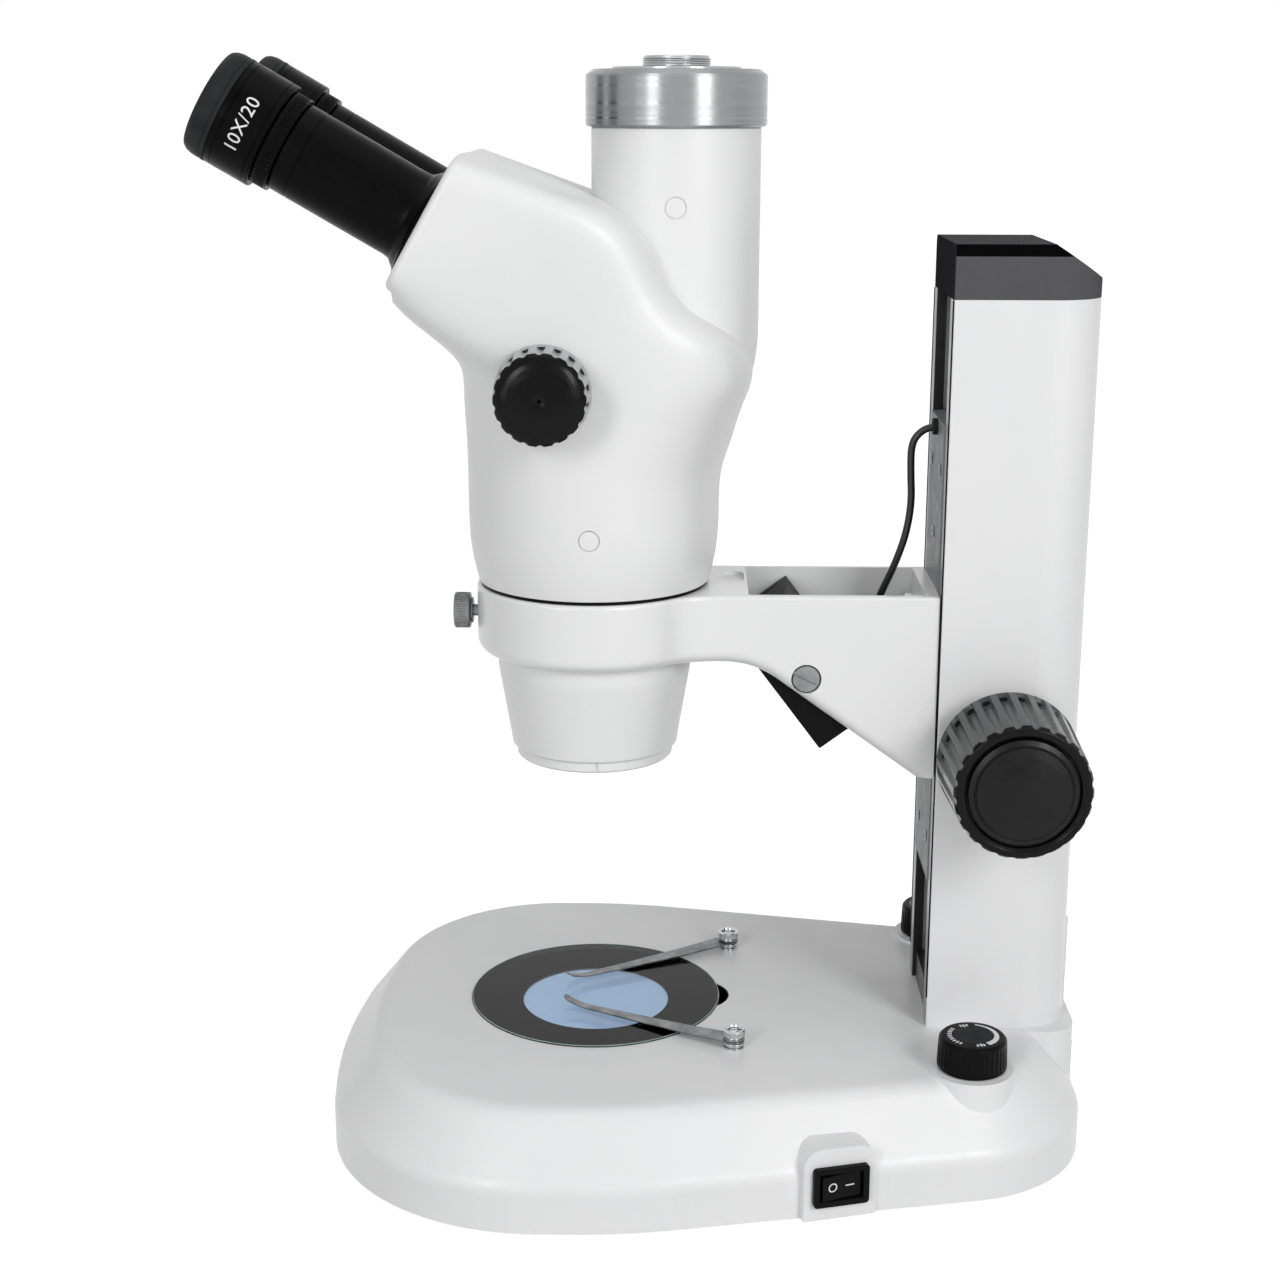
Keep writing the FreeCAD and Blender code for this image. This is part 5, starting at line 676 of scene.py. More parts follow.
def turned_piece(name, profile, place, material, body, replaces=(), segments=144, sharp=32.0, trees=()):
    """A turned piece in its own frame in mm, worked over by node trees and set in place."""
    bm = lathe(profile, Matrix.Identity(4), segments)
    for tree, sizes in trees:
        mesh = grown(bm, tree, material, **sizes)
        bm = bmesh.new()
        bm.from_mesh(mesh)
    bmesh.ops.transform(bm, matrix=place, verts=bm.verts)
    return finished(name, bm, material, body, replaces, sharp)


def screws(name, points, place, material, body, **sizes):
    """Screw heads on points in mm of a place whose Z is outwards."""
    bm = bmesh.new()
    for point in points:
        bm.verts.new(point)
    mesh = grown(bm, SCREWS, material, **sizes)
    mesh.transform(place)
    return finished(name, mesh, material, body, (), 30.0)


def between(low, high, count):
    """Points of a straight run of a profile, its first end in and its last out."""
    return [(low[0] + (high[0] - low[0]) * i / count, low[1] + (high[1] - low[1]) * i / count)
            for i in range(count)]


# Printed marks

def label(name, words, height, place, material, body, radius=None, spacing=1.0, weight=0.0):
    """Printed words in mm: flat, or bent round a cylinder of this radius whose axis is Z."""
    curve = bpy.data.curves.new(name, "FONT")
    curve.body = words
    curve.size = height / 0.7
    curve.align_x, curve.align_y = "CENTER", "CENTER"
    curve.space_character = spacing
    curve.offset = weight
    curve.extrude = 0.03
    text = put(name, curve)
    mesh = plain_mesh(text)
    bpy.data.objects.remove(text)
    if radius:
        for vertex in mesh.vertices:
            x, y, z = vertex.co
            vertex.co = round_point(radius + z, x / radius, y)
    mesh.transform(place)
    return finished(name, mesh, material, body, (), None)


# The head housing

SECTIONS = [
    ((-48.7, 252.0), (48.7, 252.0), 48.7, 2.0), ((-48.75, 263.0), (49.6, 263.0), 48.9, 2.0),
    ((-48.9, 275.0), (53.2, 275.0), 49.2, 2.1), ((-49.3, 290.0), (57.8, 290.0), 49.8, 2.5),
    ((-49.8, 303.0), (60.6, 303.5), 50.0, 3.0), ((-53.0, 309.5), (54.0, 315.5), 50.0, 3.8),
    ((-59.0, 316.0), (38.0, 326.5), 50.3, 4.8), ((-64.5, 321.0), (27.0, 340.5), 51.2, 5.6),
    ((-69.0, 325.5), (18.5, 354.5), 52.3, 6.2), ((-72.0, 329.5), (5.0, 364.8), 53.4, 6.8),
    ((-73.6, 332.3), (-19.0, 374.8), 54.9, 7.2), ((-74.05, 334.65), (-45.8, 383.58), 56.0, 7.5)]


def natural_spline(places, values, wanted):
    """A natural cubic spline through rows of values, read at the wanted places."""
    n = len(places)
    h = np.diff(places)
    system, right = np.eye(n), np.zeros_like(values)
    for i in range(1, n - 1):
        system[i, i - 1:i + 2] = h[i - 1], 2 * (h[i - 1] + h[i]), h[i]
        right[i] = 6 * ((values[i + 1] - values[i]) / h[i] - (values[i] - values[i - 1]) / h[i - 1])
    bend = np.linalg.solve(system, right)
    out = []
    for w in wanted:
        i = min(max(int(np.searchsorted(places, w)) - 1, 0), n - 2)
        a, b = places[i + 1] - w, w - places[i]
        out.append((bend[i] * a ** 3 + bend[i + 1] * b ** 3) / (6 * h[i])
                   + (values[i] / h[i] - bend[i] * h[i] / 6) * a
                   + (values[i + 1] / h[i] - bend[i + 1] * h[i] / 6) * b)
    return np.array(out)


def slice_points(low, high, half, squareness, count):
    """A ring from a low to a high point (Y, Z), rounder or squarer between, half mm to each side."""
    middle = Vector((0, (low[0] + high[0]) / 2, (low[1] + high[1]) / 2))
    reach = Vector((0, (high[0] - low[0]) / 2, (high[1] - low[1]) / 2))
    ring = []
    for i in range(count):
        angle = 2 * math.pi * i / count
        c, s = math.cos(angle), math.sin(angle)
        polar = (abs(c) ** squareness + abs(s) ** squareness) ** (-1.0 / squareness)
        ring.append(middle + Vector((half * c * polar, 0, 0)) + reach * (s * polar))
    return ring


def housing():
    """The housing and the camera tube as one skin, with the grooves round its four plugs."""
    count = 192
    rings = [[round_point(r, 2 * math.pi * i / count, z) for i in range(count)]
             for r, z in ((44.5, 219.5), (45.0, 219.7), (45.2, 220.2), (46.1, 223.5), (47.0, 227.5),
                          (47.7, 231.5), (48.25, 236.0), (48.55, 241.0), (48.66, 245.0), (48.7, 249.0))]
    slices = np.array([[list(p) for p in slice_points(*section, count)] for section in SECTIONS])
    steps = [float(np.linalg.norm(b - a, axis=1).mean()) for a, b in zip(slices, slices[1:])]
    places = np.concatenate([[0.0], np.cumsum(steps)])
    wanted = np.linspace(0.0, places[-1], 90)
    fine = natural_spline(places, slices.reshape(len(SECTIONS), -1), wanted).reshape(-1, count, 3)
    face = slices[-1]
    middle = face.mean(axis=0)
    lean = math.radians(EYE_LEAN)
    normal = np.array([0, -math.sin(lean), math.cos(lean)])
    edge = 3.2          # the rounding of the face under the eyetubes
    for ring in fine:
        if float(((ring - middle) @ normal).max()) < -edge * 1.15:
            rings.append([Vector(p) for p in ring])
    for step in range(8):
        angle = math.radians(90.0 * step / 7)
        inset, back = edge * (1 - math.cos(angle)), edge * (1 - math.sin(angle))
        shrink = 1 - inset / np.linalg.norm(face - middle, axis=1, keepdims=True)
        rings.append([Vector(p) for p in middle + (face - middle) * shrink - normal * back])
    for share in (0.8, 0.5, 0.2):
        rings.append([Vector(p) for p in middle + (face - middle) * share])
    bm = bmesh.new()
    skin_rings(bm, [[at(*p) for p in ring] for ring in rings])
    made = finished("head_housing_skin", bm, white_paint, "head",
                    ("head_housing", "trinocular_tube", "housing_plugs"), 40.0)
    carve(made, loose("tube", tube_form()), "UNION")
    for side in (-1, 1):
        for x, y, z in ((48.4, 0, 243.7), (31.7, TUBE_Y, 363.3)):
            groove = lathe([(3.62, -0.7), (4.0, -0.7), (4.0, 6.0), (3.62, 6.0)],
                           facing((side, 0, 0), side * x, y, z), 64)
            carve(made, loose("plug_groove", groove))
    made.data.polygons.foreach_set("use_smooth", [True] * len(made.data.polygons))
    made.data.set_sharp_from_angle(angle=math.radians(34.0))
    return made


# The camera tube and its ring

def tube_form():
    """The camera tube with its foot, which grows out of the hood without an edge."""
    return lathe([(0, 284.0), (25.6, 288.0), (27.4, 293.0), (29.2, 298.5), (30.5, 304.0),
                  (31.3, 309.5), (31.65, 315.0), *between((31.7, 320.0), (31.7, 391.0), 8),
                  (31.7, 391.0, 0.4), (31.3, 391.45), (0, 391.45)], upright(0, TUBE_Y, 0), 192)


def port():
    """The brushed ring on the camera tube and its threaded nose."""
    place = upright(0, TUBE_Y, 0)
    turned_piece("port_ring_turned", [
        (20.0, 391.5), (33.0, 391.5), (33.8, 392.3, 0.25), (33.8, 409.6), (33.65, 409.8),
        (33.65, 410.1), (33.55, 410.3, 0.3), (30.9, 412.15, 0.35), (26.0, 412.2), (25.6, 412.0),
        (20.0, 412.0)], place, port_metal, "head", ("port_ring",), segments=224)
    turned_piece("camera_nose", [
        (10.0, 411.9), (24.0, 411.9), (24.0, 413.0, 0.3), (13.0, 413.2, 0.2), (12.15, 413.5),
        (12.15, 416.6), (11.8, 417.0, 0.2), (10.4, 417.0, 0.2), (10.0, 416.6)],
        place, nose_metal, "head", ("camera_mount",), segments=128,
        trees=((THREAD, {"Turns": 3.6, "Radius": 12.2, "Pitch": 0.8, "Depth": 0.42, "Start": 413.5}),))


# The barrel under the housing

def barrel():
    """The tapering barrel under the ring and the notched ring at its end."""
    place = upright()
    turned_piece("barrel_turned", [
        (27.0, 152.5), (32.2, 152.5, 0.3), (32.9, 153.2, 0.7), *between((33.4, 157.0), (38.0, 184.0), 12),
        (38.0, 184.0, 12.0), *between((38.0, 196.0), (38.0, 218.5), 4), (38.0, 218.5), (43.0, 218.5),
        (43.0, 219.5), (31.0, 219.5), (31.0, 184.0), (27.0, 164.0)],
        place, white_paint, "head", ("lower_barrel",), segments=192)
    ring = turned_piece("objective_ring_turned", [
        (24.5, 148.0), (30.3, 148.0, 0.3), (31.0, 148.7, 0.5), (31.0, 152.2, 0.2), (30.4, 152.5),
        (26.0, 152.5), (26.0, 150.0), (24.5, 149.0)],
        place, white_paint, "head", ("objective_ring",), segments=160)
    for turn in (3.7, 93.7, 183.7, 273.7):
        cutter = bmesh.new()
        bmesh.ops.create_cube(cutter, size=1.0, matrix=Matrix.Rotation(math.radians(turn), 4, "Z")
                              @ Matrix.Translation(at(31.0, -AXIS_Y, 150.4)) @ Matrix.Diagonal(
                                  (1.6 * MM, 1.0 * MM, 5.6 * MM, 1.0)))
        bmesh.ops.translate(cutter, verts=cutter.verts, vec=Vector((0, AXIS_Y * MM, 0)))
        carve(ring, loose("notch", cutter))


# Knobs

def zoom_knobs():
    """Domed and fluted, with a small centre dimple."""
    for side, name in SIDES:
        place = facing((side, 0, 0), 0, *ZOOM_AXIS)
        profile = [
            (4.0, 50.8), (16.9, 50.8), (17.8, 51.6, 0.6), *between((17.75, 52.6), (16.75, 68.2), 10),
            (16.7, 68.4, 1.0), (15.6, 69.3, 0.6), (14.9, 69.75, 1.0), (13.6, 70.45, 3.0), (11.9, 71.0, 4.0),
            (9.3, 71.5, 6.0), (5.6, 71.8, 6.0),
            (2.4, 71.88, 0.8), (1.2, 71.6, 0.8), (0.0, 71.5)]
        turned_piece("zoom_knob_moulded_" + name, profile, place, zoom_moulding, "zoom_drive",
                     ("zoom_knob_" + name,), segments=18 * 18, sharp=40.0,
                     trees=((FLUTES, {"Count": 18, "Distance": 17.8, "Cutter": 1.75, "Edge": 0.5,
                                      "Start": 52.2, "End": 90.0, "Fade": 0.8}),))


def focus_knobs():
    """Fluted knobs with a domed cap seated in each face."""
    for side, name in SIDES:
        place = facing((side, 0, 0), 0, *FOCUS_AXIS)
        profile = [
            (4.0, 38.0), (26.2, 38.0, 0.4), (27.3, 39.1, 0.8), *between((27.25, 40.0), (25.75, 76.6), 14),
            (25.65, 77.0, 1.6), (24.6, 79.0, 1.0), (22.4, 79.0, 0.5), (21.1, 78.0, 0.5), (20.9, 76.5),
            (20.9, 75.0), (4.0, 75.0)]
        turned_piece("focus_knob_moulded_" + name, profile, place, focus_moulding, "focus_drive",
                     ("focus_knob_" + name,), segments=24 * 16, sharp=40.0,
                     trees=((FLUTES, {"Count": 24, "Distance": 26.6, "Cutter": 1.9, "Edge": 0.5,
                                      "Start": 39.4, "End": 99.0, "Fade": 0.9}),))
        turned_piece("focus_cap_" + name, [
            (0.0, 75.0), (20.5, 75.0), (20.5, 77.9, 0.7), (18.4, 78.85), (18.1, 78.6),
            (17.8, 78.6), (17.5, 79.05), (14.5, 79.85, 6.0), (9.0, 80.85, 9.0), (4.0, 81.45, 6.0),
            (0.0, 81.58)],
            place, satin_cap, "focus_drive", (("focus_knob_caps",) if side > 0 else ()), segments=144)


def dimmers():
    """Ribbed knobs with a dial disc, its marks and a seat on the foot."""
    for side, name in SIDES:
        place = upright(side * DIMMER[0], *DIMMER[1:])
        profile = [
            (0.0, 0.0), (12.6, 0.0, 0.2), (13.2, 0.5, 0.3), *between((13.35, 1.3), (13.0, 11.4), 5),
            (12.9, 11.7, 0.5), (11.9, 12.7, 0.5), (10.6, 12.75), (0.0, 12.75)]
        body = "dimmer_" + name
        turned_piece("dimmer_moulded_" + name, profile, place, black_knob, body,
                     ("dimmer_knob_" + name,), segments=36 * 10, sharp=38.0,
                     trees=((FLUTES, {"Count": 36, "Distance": 13.7, "Cutter": 0.85, "Edge": 0.18,
                                      "Start": 1.3, "End": 11.9, "Fade": 0.5}),))
        turned_piece("dimmer_disc_" + name, [
            (0.0, 12.3), (7.6, 12.3), (7.6, 12.72, 0.1), (7.3, 12.82, 0.1), (0.0, 12.82)],
            place, dial_grey, body, segments=96)
        dial_marks("dimmer_marks_" + name, place, body)
        turned_piece("dimmer_seat_" + name, [
            (8.0, -1.0), (14.4, -1.0), (14.4, -0.35, 0.3), (13.9, -0.25), (8.0, -0.25)],
            place, foot_paint, "stand", segments=96)


def dial_marks(name, place, body):
    """A tapering arc and short lines round a dial's face."""
    bm = bmesh.new()
    level, rim, steps = 12.78, 9.9, 60
    first, last = math.radians(168.0), math.radians(32.0)
    inner, outer = [], []
    for i in range(steps + 1):
        share = i / steps
        angle = first + (last - first) * share
        width = 0.8 + 1.7 * share
        inner.append(bm.verts.new(round_point(rim - width, angle, level)))
        outer.append(bm.verts.new(round_point(rim, angle, level)))
    for i in range(steps):
        bm.faces.new((inner[i], outer[i], outer[i + 1], inner[i + 1]))
    for degrees in (188, 196, 204, 232, 242, 252, 262, 272, 282, 292, 302, 312, 322, 4, 13, 20):
        spin = Matrix.Rotation(math.radians(degrees), 4, "Z")
        reach = 2.2 if degrees in (196, 13) else 1.7
        corners = [(9.8 - reach, -0.4), (9.8, -0.4), (9.8, 0.4), (9.8 - reach, 0.4)]
        bm.faces.new([bm.verts.new(spin @ Vector((x, y, level))) for x, y in corners])
    bmesh.ops.transform(bm, matrix=place, verts=bm.verts)
    bm.normal_update()
    for face in bm.faces:
        if face.normal.z < 0:
            face.normal_flip()
    mesh = bpy.data.meshes.new(name)
    bm.to_mesh(mesh)
    bm.free()
    return finished(name, mesh, print_white, body, (), None)


# Eyepieces

def eyepieces():
    """Eyetube, diopter ring, eyepiece with its power, rubber cup and field stop, on both sides."""
    for side, name in SIDES:
        place = eye_place(side)
        turned_piece("eyetube_turned_" + name, [
            (7.0, 0.35), (21.0, 0.35, 0.1), (21.2, 0.55, 0.1), (21.2, 1.0, 0.2), (20.2, 1.5, 0.6),
            *between((19.9, 1.65), (17.4, 4.3), 4), (17.1, 4.6, 2.0), (16.75, 7.0),
            *between((16.75, 10.0), (16.75, 47.0), 4), (16.75, 47.0), (16.5, 47.15), (16.5, 47.55),
            (16.75, 47.7), (16.75, 53.6, 0.3), (16.4, 54.0), (15.1, 54.0), (15.1, 8.0),
            (7.0, 8.0)], place, eyepiece_black, "eyetube_%s_body" % name,
            ("eyetube_" + name,), segments=144)
        turned_piece("diopter_knurled_" + name, [
            (15.4, 54.35), (17.9, 54.35, 0.2), (18.1, 54.55, 0.1), (18.1, 55.1, 0.05),
            *between((18.1, 55.3), (18.1, 59.3), 4), (18.1, 59.5), (18.1, 60.1, 0.1), (17.9, 60.28, 0.1),
            (15.4, 60.28)], place, eyepiece_black, "diopter_%s_body" % name,
            ("diopter_ring_" + name,), segments=64 * 8,
            trees=((FLUTES, {"Count": 64, "Distance": 18.28, "Cutter": 0.62, "Edge": 0.1,
                             "Start": 55.1, "End": 59.6, "Fade": 0.25}),))
        body = "eyepiece_%s_body" % name
        turned_piece("eyepiece_turned_" + name, [
            (12.5, 32.0), (15.0, 32.0, 0.3), (15.0, 60.7), (19.6, 60.7, 0.2), (20.0, 61.1, 0.2),
            (20.0, 62.6), (19.72, 62.75), (19.72, 63.05), (20.0, 63.2),
            *between((20.0, 66.0), (20.0, 75.5), 3), (20.0, 75.5), (19.72, 75.65), (19.72, 75.95),
            (20.0, 76.1), (20.0, 78.2, 0.2), (19.7, 78.5), (12.5, 78.5)],
            place, eyepiece_black, body, ("eyepiece_" + name,), segments=144)
        turned_piece("eyecup_moulded_" + name, [
            (14.0, 78.55), (19.9, 78.55, 0.2), (20.15, 78.8, 0.2), (20.15, 79.9, 0.25), (19.75, 80.2, 0.1),
            (19.75, 80.5, 0.1), (20.05, 80.8, 0.4), (20.0, 83.4, 1.5), (19.5, 85.4, 1.2), (18.5, 87.0, 0.9),
            (16.6, 87.05, 0.9), (15.6, 85.8, 0.8), (14.6, 83.0, 1.0), (14.1, 79.5)],
            place, rubber, body, ("eyecup_" + name,), segments=144)
        turned_piece("field_stop_" + name, [
            (10.2, 77.6), (12.5, 77.6), (14.3, 78.7, 0.2), (14.3, 79.3, 0.2), (12.2, 79.4, 0.3),
            (10.6, 78.3, 0.3)], place, eyepiece_black, body, segments=96)
        turn = Matrix.Rotation(math.radians(0.0 if side > 0 else 180.0), 4, "Z")
        label("eyepiece_power_" + name, "10X/20", 4.7, place @ Matrix.Translation((0, 0, 69.6)) @ turn,
              print_white, body, 20.03, 1.08, 0.02)


# The stage: clips, their caps and the finger notch

def clip_line(u, length):
    """Height of the underside of a clip at u mm from its post, its half width there."""
    level = float(np.interp(u, [-5, 6, 10, 14, 24, 44, length - 8, length - 5, length - 2, length + 2],
                            [45.0, 45.0, 44.85, 44.5, 44.1, 43.5, 43.05, 43.05, 43.9, 45.7]))
    half = 4.25 + (1.65 - 4.25) * max(u, 0.0) / length
    if u < 0:
        half = math.sqrt(max(4.25 ** 2 - u * u, 0.0))
    if u > length + 0.6:
        half = 1.6 * math.sqrt(max(1 - ((u - length - 0.6) / 1.4) ** 2, 0.0))
    return level, max(half, 0.25)


def stage_clips():
    """Tapering spring clips under screwed caps."""
    ahead, aside = CLIP_TIP[1] - CLIP_POST[1], CLIP_POST[0] - CLIP_TIP[0]
    length = math.hypot(aside, ahead)
    for side, name in SIDES:
        body = "clip_" + name
        post = upright(side * CLIP_POST[0], CLIP_POST[1], 0)
        place = post @ Matrix.Rotation(math.atan2(ahead, -side * aside), 4, "Z")
        stations = np.concatenate([np.linspace(-4.24, 0, 9), np.linspace(1, length, 60),
                                   np.linspace(length + 0.6, length + 1.99, 7)])
        levels = [clip_line(u, length)[0] for u in stations]
        smooth = np.convolve(np.pad(levels, 3, mode="edge"), np.ones(7) / 7, mode="valid")
        bm = bmesh.new()
        rings = []
        for u, level in zip(stations, smooth):
            half = clip_line(u, length)[1]
            corner = min(0.16, half * 0.5)
            top = level + 0.7
            section = [(-half + corner, level), (half - corner, level), (half, level + corner),
                       (half, top - corner), (half - corner, top),
                       (-half + corner, top), (-half, top - corner), (-half, level + corner)]
            rings.append([place @ Vector((u, y, z)) for y, z in section])
        skin_rings(bm, rings)
        finished("spring_clip_" + name, bm, clip_steel, body, ("stage_clip_" + name,), 30.0)
        turned_piece("clip_cap_" + name, [
            (0.0, 45.9), (3.9, 45.9, 0.1), (4.3, 46.2, 0.1), (4.3, 46.6), (3.5, 46.65),
            (3.5, 47.15), *between((4.3, 47.2), (4.3, 49.4), 3), (4.3, 49.4), (3.9, 49.9, 0.2),
            (3.1, 49.95, 0.15), (2.8, 49.2, 0.1), (2.7, 47.6), (0.0, 47.6)], post, cap_chrome, "stand",
            (("stage_clip_posts",) if side > 0 else ()), segments=36 * 8,
            trees=((FLUTES, {"Count": 36, "Distance": 4.42, "Cutter": 0.26, "Edge": 0.05, "Start": 47.1,
                             "End": 49.5, "Fade": 0.2}),))
        turned_piece("clip_collar_" + name, [
            (0.0, 41.5), (4.1, 41.5), (4.1, 42.85, 0.1), (3.3, 42.95), (3.3, 43.4),
            (4.1, 43.5, 0.1), (4.1, 44.7, 0.2), (2.0, 44.85), (2.0, 46.0), (0.0, 46.0)],
            post, cap_chrome, "stand", segments=64)
        screws("clip_cap_screw_" + name, [(0, 0, 47.55)], post, cap_chrome, "stand",
               HeadRadius=1.9, HeadHeight=1.9, Bevel=0.2, RecessWidth=0.6, RecessDepth=0.4)


def glass_rim():
    """The dark joint round the stage glass, with a fine green line at the glass's edge."""
    turned_piece("stage_glass_joint", [
        (51.02, 37.6), (51.2, 37.6), (51.2, 42.15), (51.02, 42.15)],
        upright(), joint_grey, "stand", segments=160)
    turned_piece("stage_glass_edge", [
        (50.72, 42.56), (50.98, 42.42), (51.0, 42.5), (50.76, 42.66)],
        upright(), edge_green, "stand", segments=160)


def notch_shade_lining():
    """A black cup in the finger notch beside the glass, painted shade of the notch."""
    lining = turned_piece("notch_shade_lining", [
        (0.0, 33.15), (14.9, 33.15), (14.9, 41.7), (14.6, 41.7), (14.6, 33.6), (0.0, 33.6)],
        upright(0, 40.2, 0), black_plastic, "stand", segments=96)
    carve(lining, loose("glass_room", lathe([(0, 20.0), (51.6, 20.0), (51.6, 60.0), (0, 60.0)],
                                            upright(), 96)))


# The switch and the small parts of the arm and the column

def switch_marks():
    """The rocker's O and I, flat on its two faces."""
    turn = Matrix.Translation(at(*SWITCH)) @ Matrix.Rotation(math.radians(SWITCH_TURN), 4, "Z")
    turn = turn @ Matrix.Scale(MM, 4)
    for name, mark, aside, out, lean in (("off_mark", "O", -3.6, 2.2, 12.0),
                                         ("on_mark", "I", 3.6, 1.06, 6.0)):
        stand = Matrix.Translation((out, aside, 0)) @ Matrix.Rotation(math.radians(lean), 4, "Z")
        axes = Matrix(((0, 0, 1, 0), (1, 0, 0, 0), (0, 1, 0, 0), (0, 0, 0, 1)))
        tilt = Matrix.Rotation(math.radians(90.0), 4, "Z") if mark == "I" else Matrix.Identity(4)
        label(name, mark, 3.5, turn @ stand @ axes @ tilt, print_white, "rocker", weight=0.006)


def softened(name, boxes, width, material, body):
    """Blocks between a low and a high corner, with rounded edges."""
    bm = bmesh.new()
    for low, high in boxes:
        middle = [(a + b) / 2 for a, b in zip(low, high)]
        size = [(b - a) * MM for a, b in zip(low, high)]
        bmesh.ops.create_cube(
            bm, size=1.0, matrix=Matrix.Translation(at(*middle)) @ Matrix.Diagonal((*size, 1)))
    bmesh.ops.bevel(bm, geom=bm.edges[:], offset=width * MM, segments=2, affect="EDGES", profile=0.5)
    finished(name, bm, material, body, (), 50.0)


def small_parts():
    """Black pieces as painted shade in the gaps under the housing and beside the column's front, and the
    screws of the carriage, the lamp, the ring and the rear cover.
    """
    # Painted shade: a black ring fills the gap between the housing and the arm.
    turned_piece("ring_gap_shade", [
        (39.0, 218.25), (44.3, 218.25), (44.3, 219.45), (39.0, 219.45)],
        upright(), black_plastic, "head", segments=160)
    # Painted shade: black strips at the edges of the column's front stand for its gap lines.
    softened("column_edge_shade", [((28.5, 132.85, 54.5), (29.25, 133.4, 330.2)),
                              ((-29.25, 132.85, 54.5), (-28.5, 133.4, 330.2))],
             0.1, black_plastic, "stand")
    front = facing((0, -1, 0), 0, 132.6, 0)
    places = [(13.4, 264.9), (-13.4, 264.9), (0.0, 238.4), (12.5, 117.0), (-12.5, 117.0)]
    points = [front.inverted() @ at(x, 132.55, z) for x, z in places]
    screws("carriage_screws", points, front, dark_screw, "carriage", HeadRadius=2.3,
           HeadHeight=0.35, Bevel=0.1, RecessSides=6, RecessRadius=1.2, RecessDepth=0.25)
    for side, name in SIDES:
        wall = facing((side, 0, 0), side * PIVOT[0], *PIVOT[1:])
        made = screws("lamp_pivot_" + name, [(0, 0, 0)], wall @ Matrix.Rotation(math.radians(65), 4, "Z"),
                      pivot_screw, "carriage", HeadRadius=5.35, HeadHeight=1.3, Bevel=0.3,
                      RecessWidth=1.3, RecessDepth=0.8)
        turned_piece("lamp_pivot_seat_" + name, [
            (0.0, -0.3), (5.75, -0.3), (5.75, 0.05), (5.5, 0.12), (0.0, 0.12)],
            wall, black_plastic, "carriage", segments=96)
        if side > 0:
            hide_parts("lamp_pivot_screws")
    turned_piece("thumb_screw", [
        (0.0, 38.3), (2.35, 38.3), (2.35, 47.7), (5.0, 47.8, 0.2), (5.2, 48.6, 0.2), (7.0, 48.9, 0.3),
        *between((7.1, 49.2), (7.1, 54.6), 6), (7.1, 54.7, 0.2), (6.7, 55.2, 0.2), (5.0, 55.25, 0.2),
        (4.6, 54.9, 0.2), (0.0, 54.9)], facing((0, -1, 0), 0, 0, CLAMP_Z), screw_metal, "clamp",
        ("clamp_screw",), segments=48 * 8,
        trees=((FLUTES, {"Count": 48, "Distance": 7.26, "Cutter": 0.34, "Edge": 0.06, "Start": 49.3,
                         "End": 54.5, "Fade": 0.3}),))
    rear = facing((0, 1, 0), 0, REAR_COVER, 0)
    points = [rear.inverted() @ at(0, REAR_COVER - 0.05, z) for z in (47.0, 76.0)]
    screws("rear_cover_screws", points, rear, dark_screw, "stand", HeadRadius=2.6, HeadHeight=0.9,
           Bevel=0.3, RecessWidth=0.7, RecessDepth=0.4)


# Camera, floor and light

def camera():
    """The photograph's view, fitted to it: 0.8 m to the right and 14.6 degrees down."""
    tilt, yaw, roll = (math.radians(a) for a in (14.575, 1.014, 0.117))
    ahead = Vector((-math.cos(tilt) * math.cos(yaw), -math.cos(tilt) * math.sin(yaw), -math.sin(tilt)))
    right = ahead.cross(Vector((0, 0, 1))).normalized()
    up = right.cross(ahead)
    right, up = (math.cos(roll) * right + math.sin(roll) * up,
                 -math.sin(roll) * right + math.cos(roll) * up)
    data = bpy.data.cameras.new("camera")
    data.sensor_fit = "HORIZONTAL"
    data.sensor_width = 36.0
    data.lens = 2082.65 / 1280 * 36.0
    data.clip_start = 0.02
    made = put("camera", data)
    made.matrix_world = Matrix.Translation(at(799.66, 32.2, 401.61)) @ Matrix(
        (right, up, -ahead)).transposed().to_4x4()
    bpy.context.scene.camera = made


def seen_directly(tree):
    """1 on camera, glossy and transmission rays, so that glass and metal show the white room too."""
    path = tree.nodes.new("ShaderNodeLightPath")
    found = path.outputs["Is Camera Ray"]
    for other in ("Is Glossy Ray", "Is Transmission Ray"):
        either = tree.nodes.new("ShaderNodeMath")
        either.operation = "MAXIMUM"
        tree.links.new(found, either.inputs[0])
        tree.links.new(path.outputs[other], either.inputs[1])
        found = either.outputs[0]
    return found


def floor():
    """A plain pale floor that runs out of sight: white where it is seen, with the object's shadow."""
    bpy.ops.mesh.primitive_circle_add(vertices=96, radius=6.0, fill_type="NGON", location=(0, 0, -0.0002))
    made = bpy.context.object
    made.name = "floor"
    look = Look("floor", "c9c9c9", 0.85)
    look.tint(look.noise(300.0, 2.0), "c6c6c6", 0.0, 0.5)
    lift = look.math("MULTIPLY", seen_directly(look.tree), 0.82)
    look.shader.inputs["Emission Color"].default_value = (1, 1, 1, 1)
    look.feed(look.shader.inputs["Emission Strength"], lift)
    made.data.materials.append(look.material)


def lamp(name, azimuth, elevation, width, height, power, distance=1.5):
    """A soft box that faces the middle of the object; azimuth 0 is the camera's side."""
    turn, rise = math.radians(azimuth), math.radians(elevation)
    middle = Vector((0, 0, 0.2))
    place = middle + distance * Vector((math.cos(rise) * math.cos(turn), math.cos(rise) * math.sin(turn),
                                        math.sin(rise)))
    data = bpy.data.lights.new(name, "AREA")
    data.shape = "RECTANGLE"
    data.size, data.size_y, data.energy = width, height, power
    made = put(name, data)
    made.location = place
    made.rotation_euler = (middle - place).to_track_quat("-Z", "Y").to_euler()


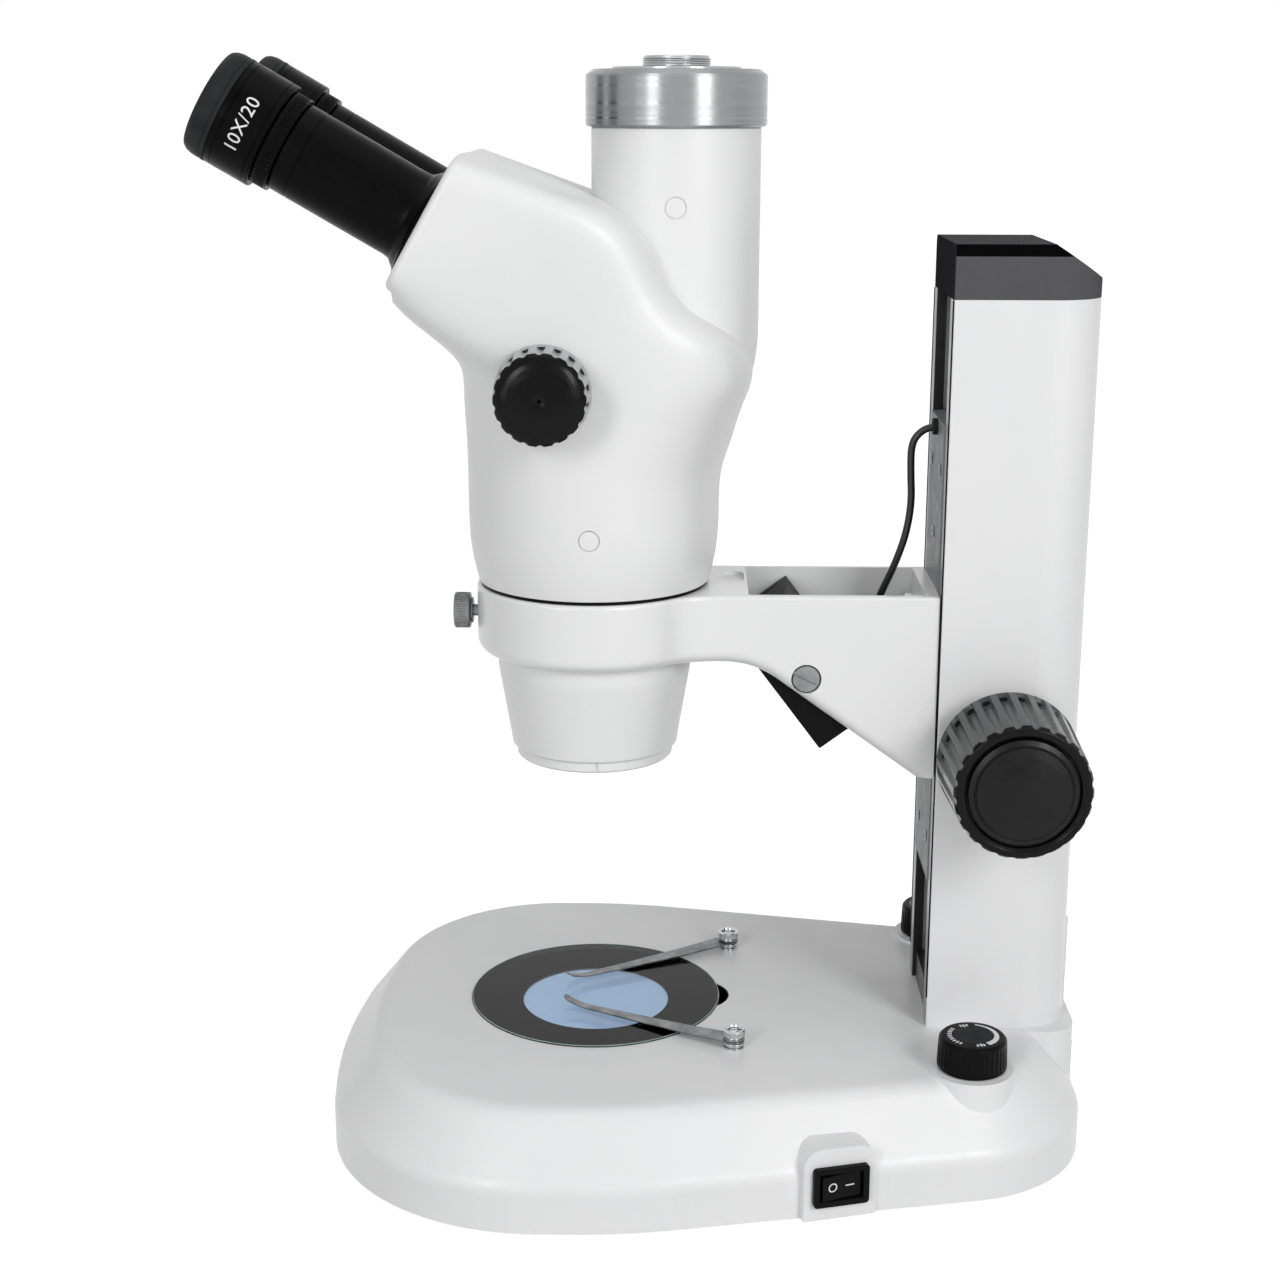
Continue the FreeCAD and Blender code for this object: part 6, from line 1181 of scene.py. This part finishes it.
def light():
    """Two soft boxes beside the camera, low strips under them, a weak box above and a dim room."""
    world = bpy.data.worlds.new("studio")
    bpy.context.scene.world = world
    world.use_nodes = True
    tree = world.node_tree
    room = tree.nodes["Background"]
    room.inputs["Color"].default_value = (1, 1, 1, 1)
    room.inputs["Strength"].default_value = 0.31
    white = tree.nodes.new("ShaderNodeBackground")
    white.inputs["Color"].default_value = (1, 1, 1, 1)
    mix = tree.nodes.new("ShaderNodeMixShader")
    tree.links.new(seen_directly(tree), mix.inputs[0])
    tree.links.new(room.outputs[0], mix.inputs[1])
    tree.links.new(white.outputs[0], mix.inputs[2])
    tree.links.new(mix.outputs[0], tree.nodes["World Output"].inputs["Surface"])
    lamp("left box", -29, 21, 0.34, 0.55, 5.0)
    lamp("right box", 36, 24, 0.42, 0.6, 8.2)
    lamp("left strip", -40, 4, 0.55, 0.2, 0.8)
    lamp("right strip", 36, 4, 0.8, 0.2, 0.9)
    lamp("top box", 0, 80, 1.0, 1.0, 2.5, distance=1.4)
    bpy.context.scene.view_settings.view_transform = "Standard"


# The lead, on the same route as its solid

LEAD_ROUTE = [
    (0.0, 135.2, 279.5), (0.0, 129.94, 279.5), (-0.1, 125.4, 276.88), (-0.3, 122.78, 272.34),
    (-0.6, 122.9, 262.3), (-1.0, 123.8, 249.5), (-1.8, 122.0, 236.0), (-3.4, 117.6, 222.5),
    (-5.2, 113.4, 212.5), (-6.0, 111.9, 207.0), (-6.0, 111.9, 200.2)]


def lead():
    curve = bpy.data.curves.new("lamp_lead_line", "CURVE")
    curve.dimensions = "3D"
    curve.bevel_depth = 1.45 * MM
    curve.bevel_resolution = 6
    curve.use_fill_caps = True
    curve.resolution_u = 12
    line = curve.splines.new("NURBS")
    line.points.add(len(LEAD_ROUTE) - 1)
    for point, place in zip(line.points, LEAD_ROUTE):
        point.co = (*at(*place), 1.0)
    line.order_u = 3
    line.use_endpoint_u = True
    made = put("lamp_lead_line", curve)
    curve.materials.append(lead_sheath)
    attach(made, "carriage")
    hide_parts("lamp_lead")


dress()
lead()
housing()
port()
barrel()
zoom_knobs()
focus_knobs()
dimmers()
eyepieces()
stage_clips()
glass_rim()
notch_shade_lining()
switch_marks()
small_parts()
camera()
floor()
light()
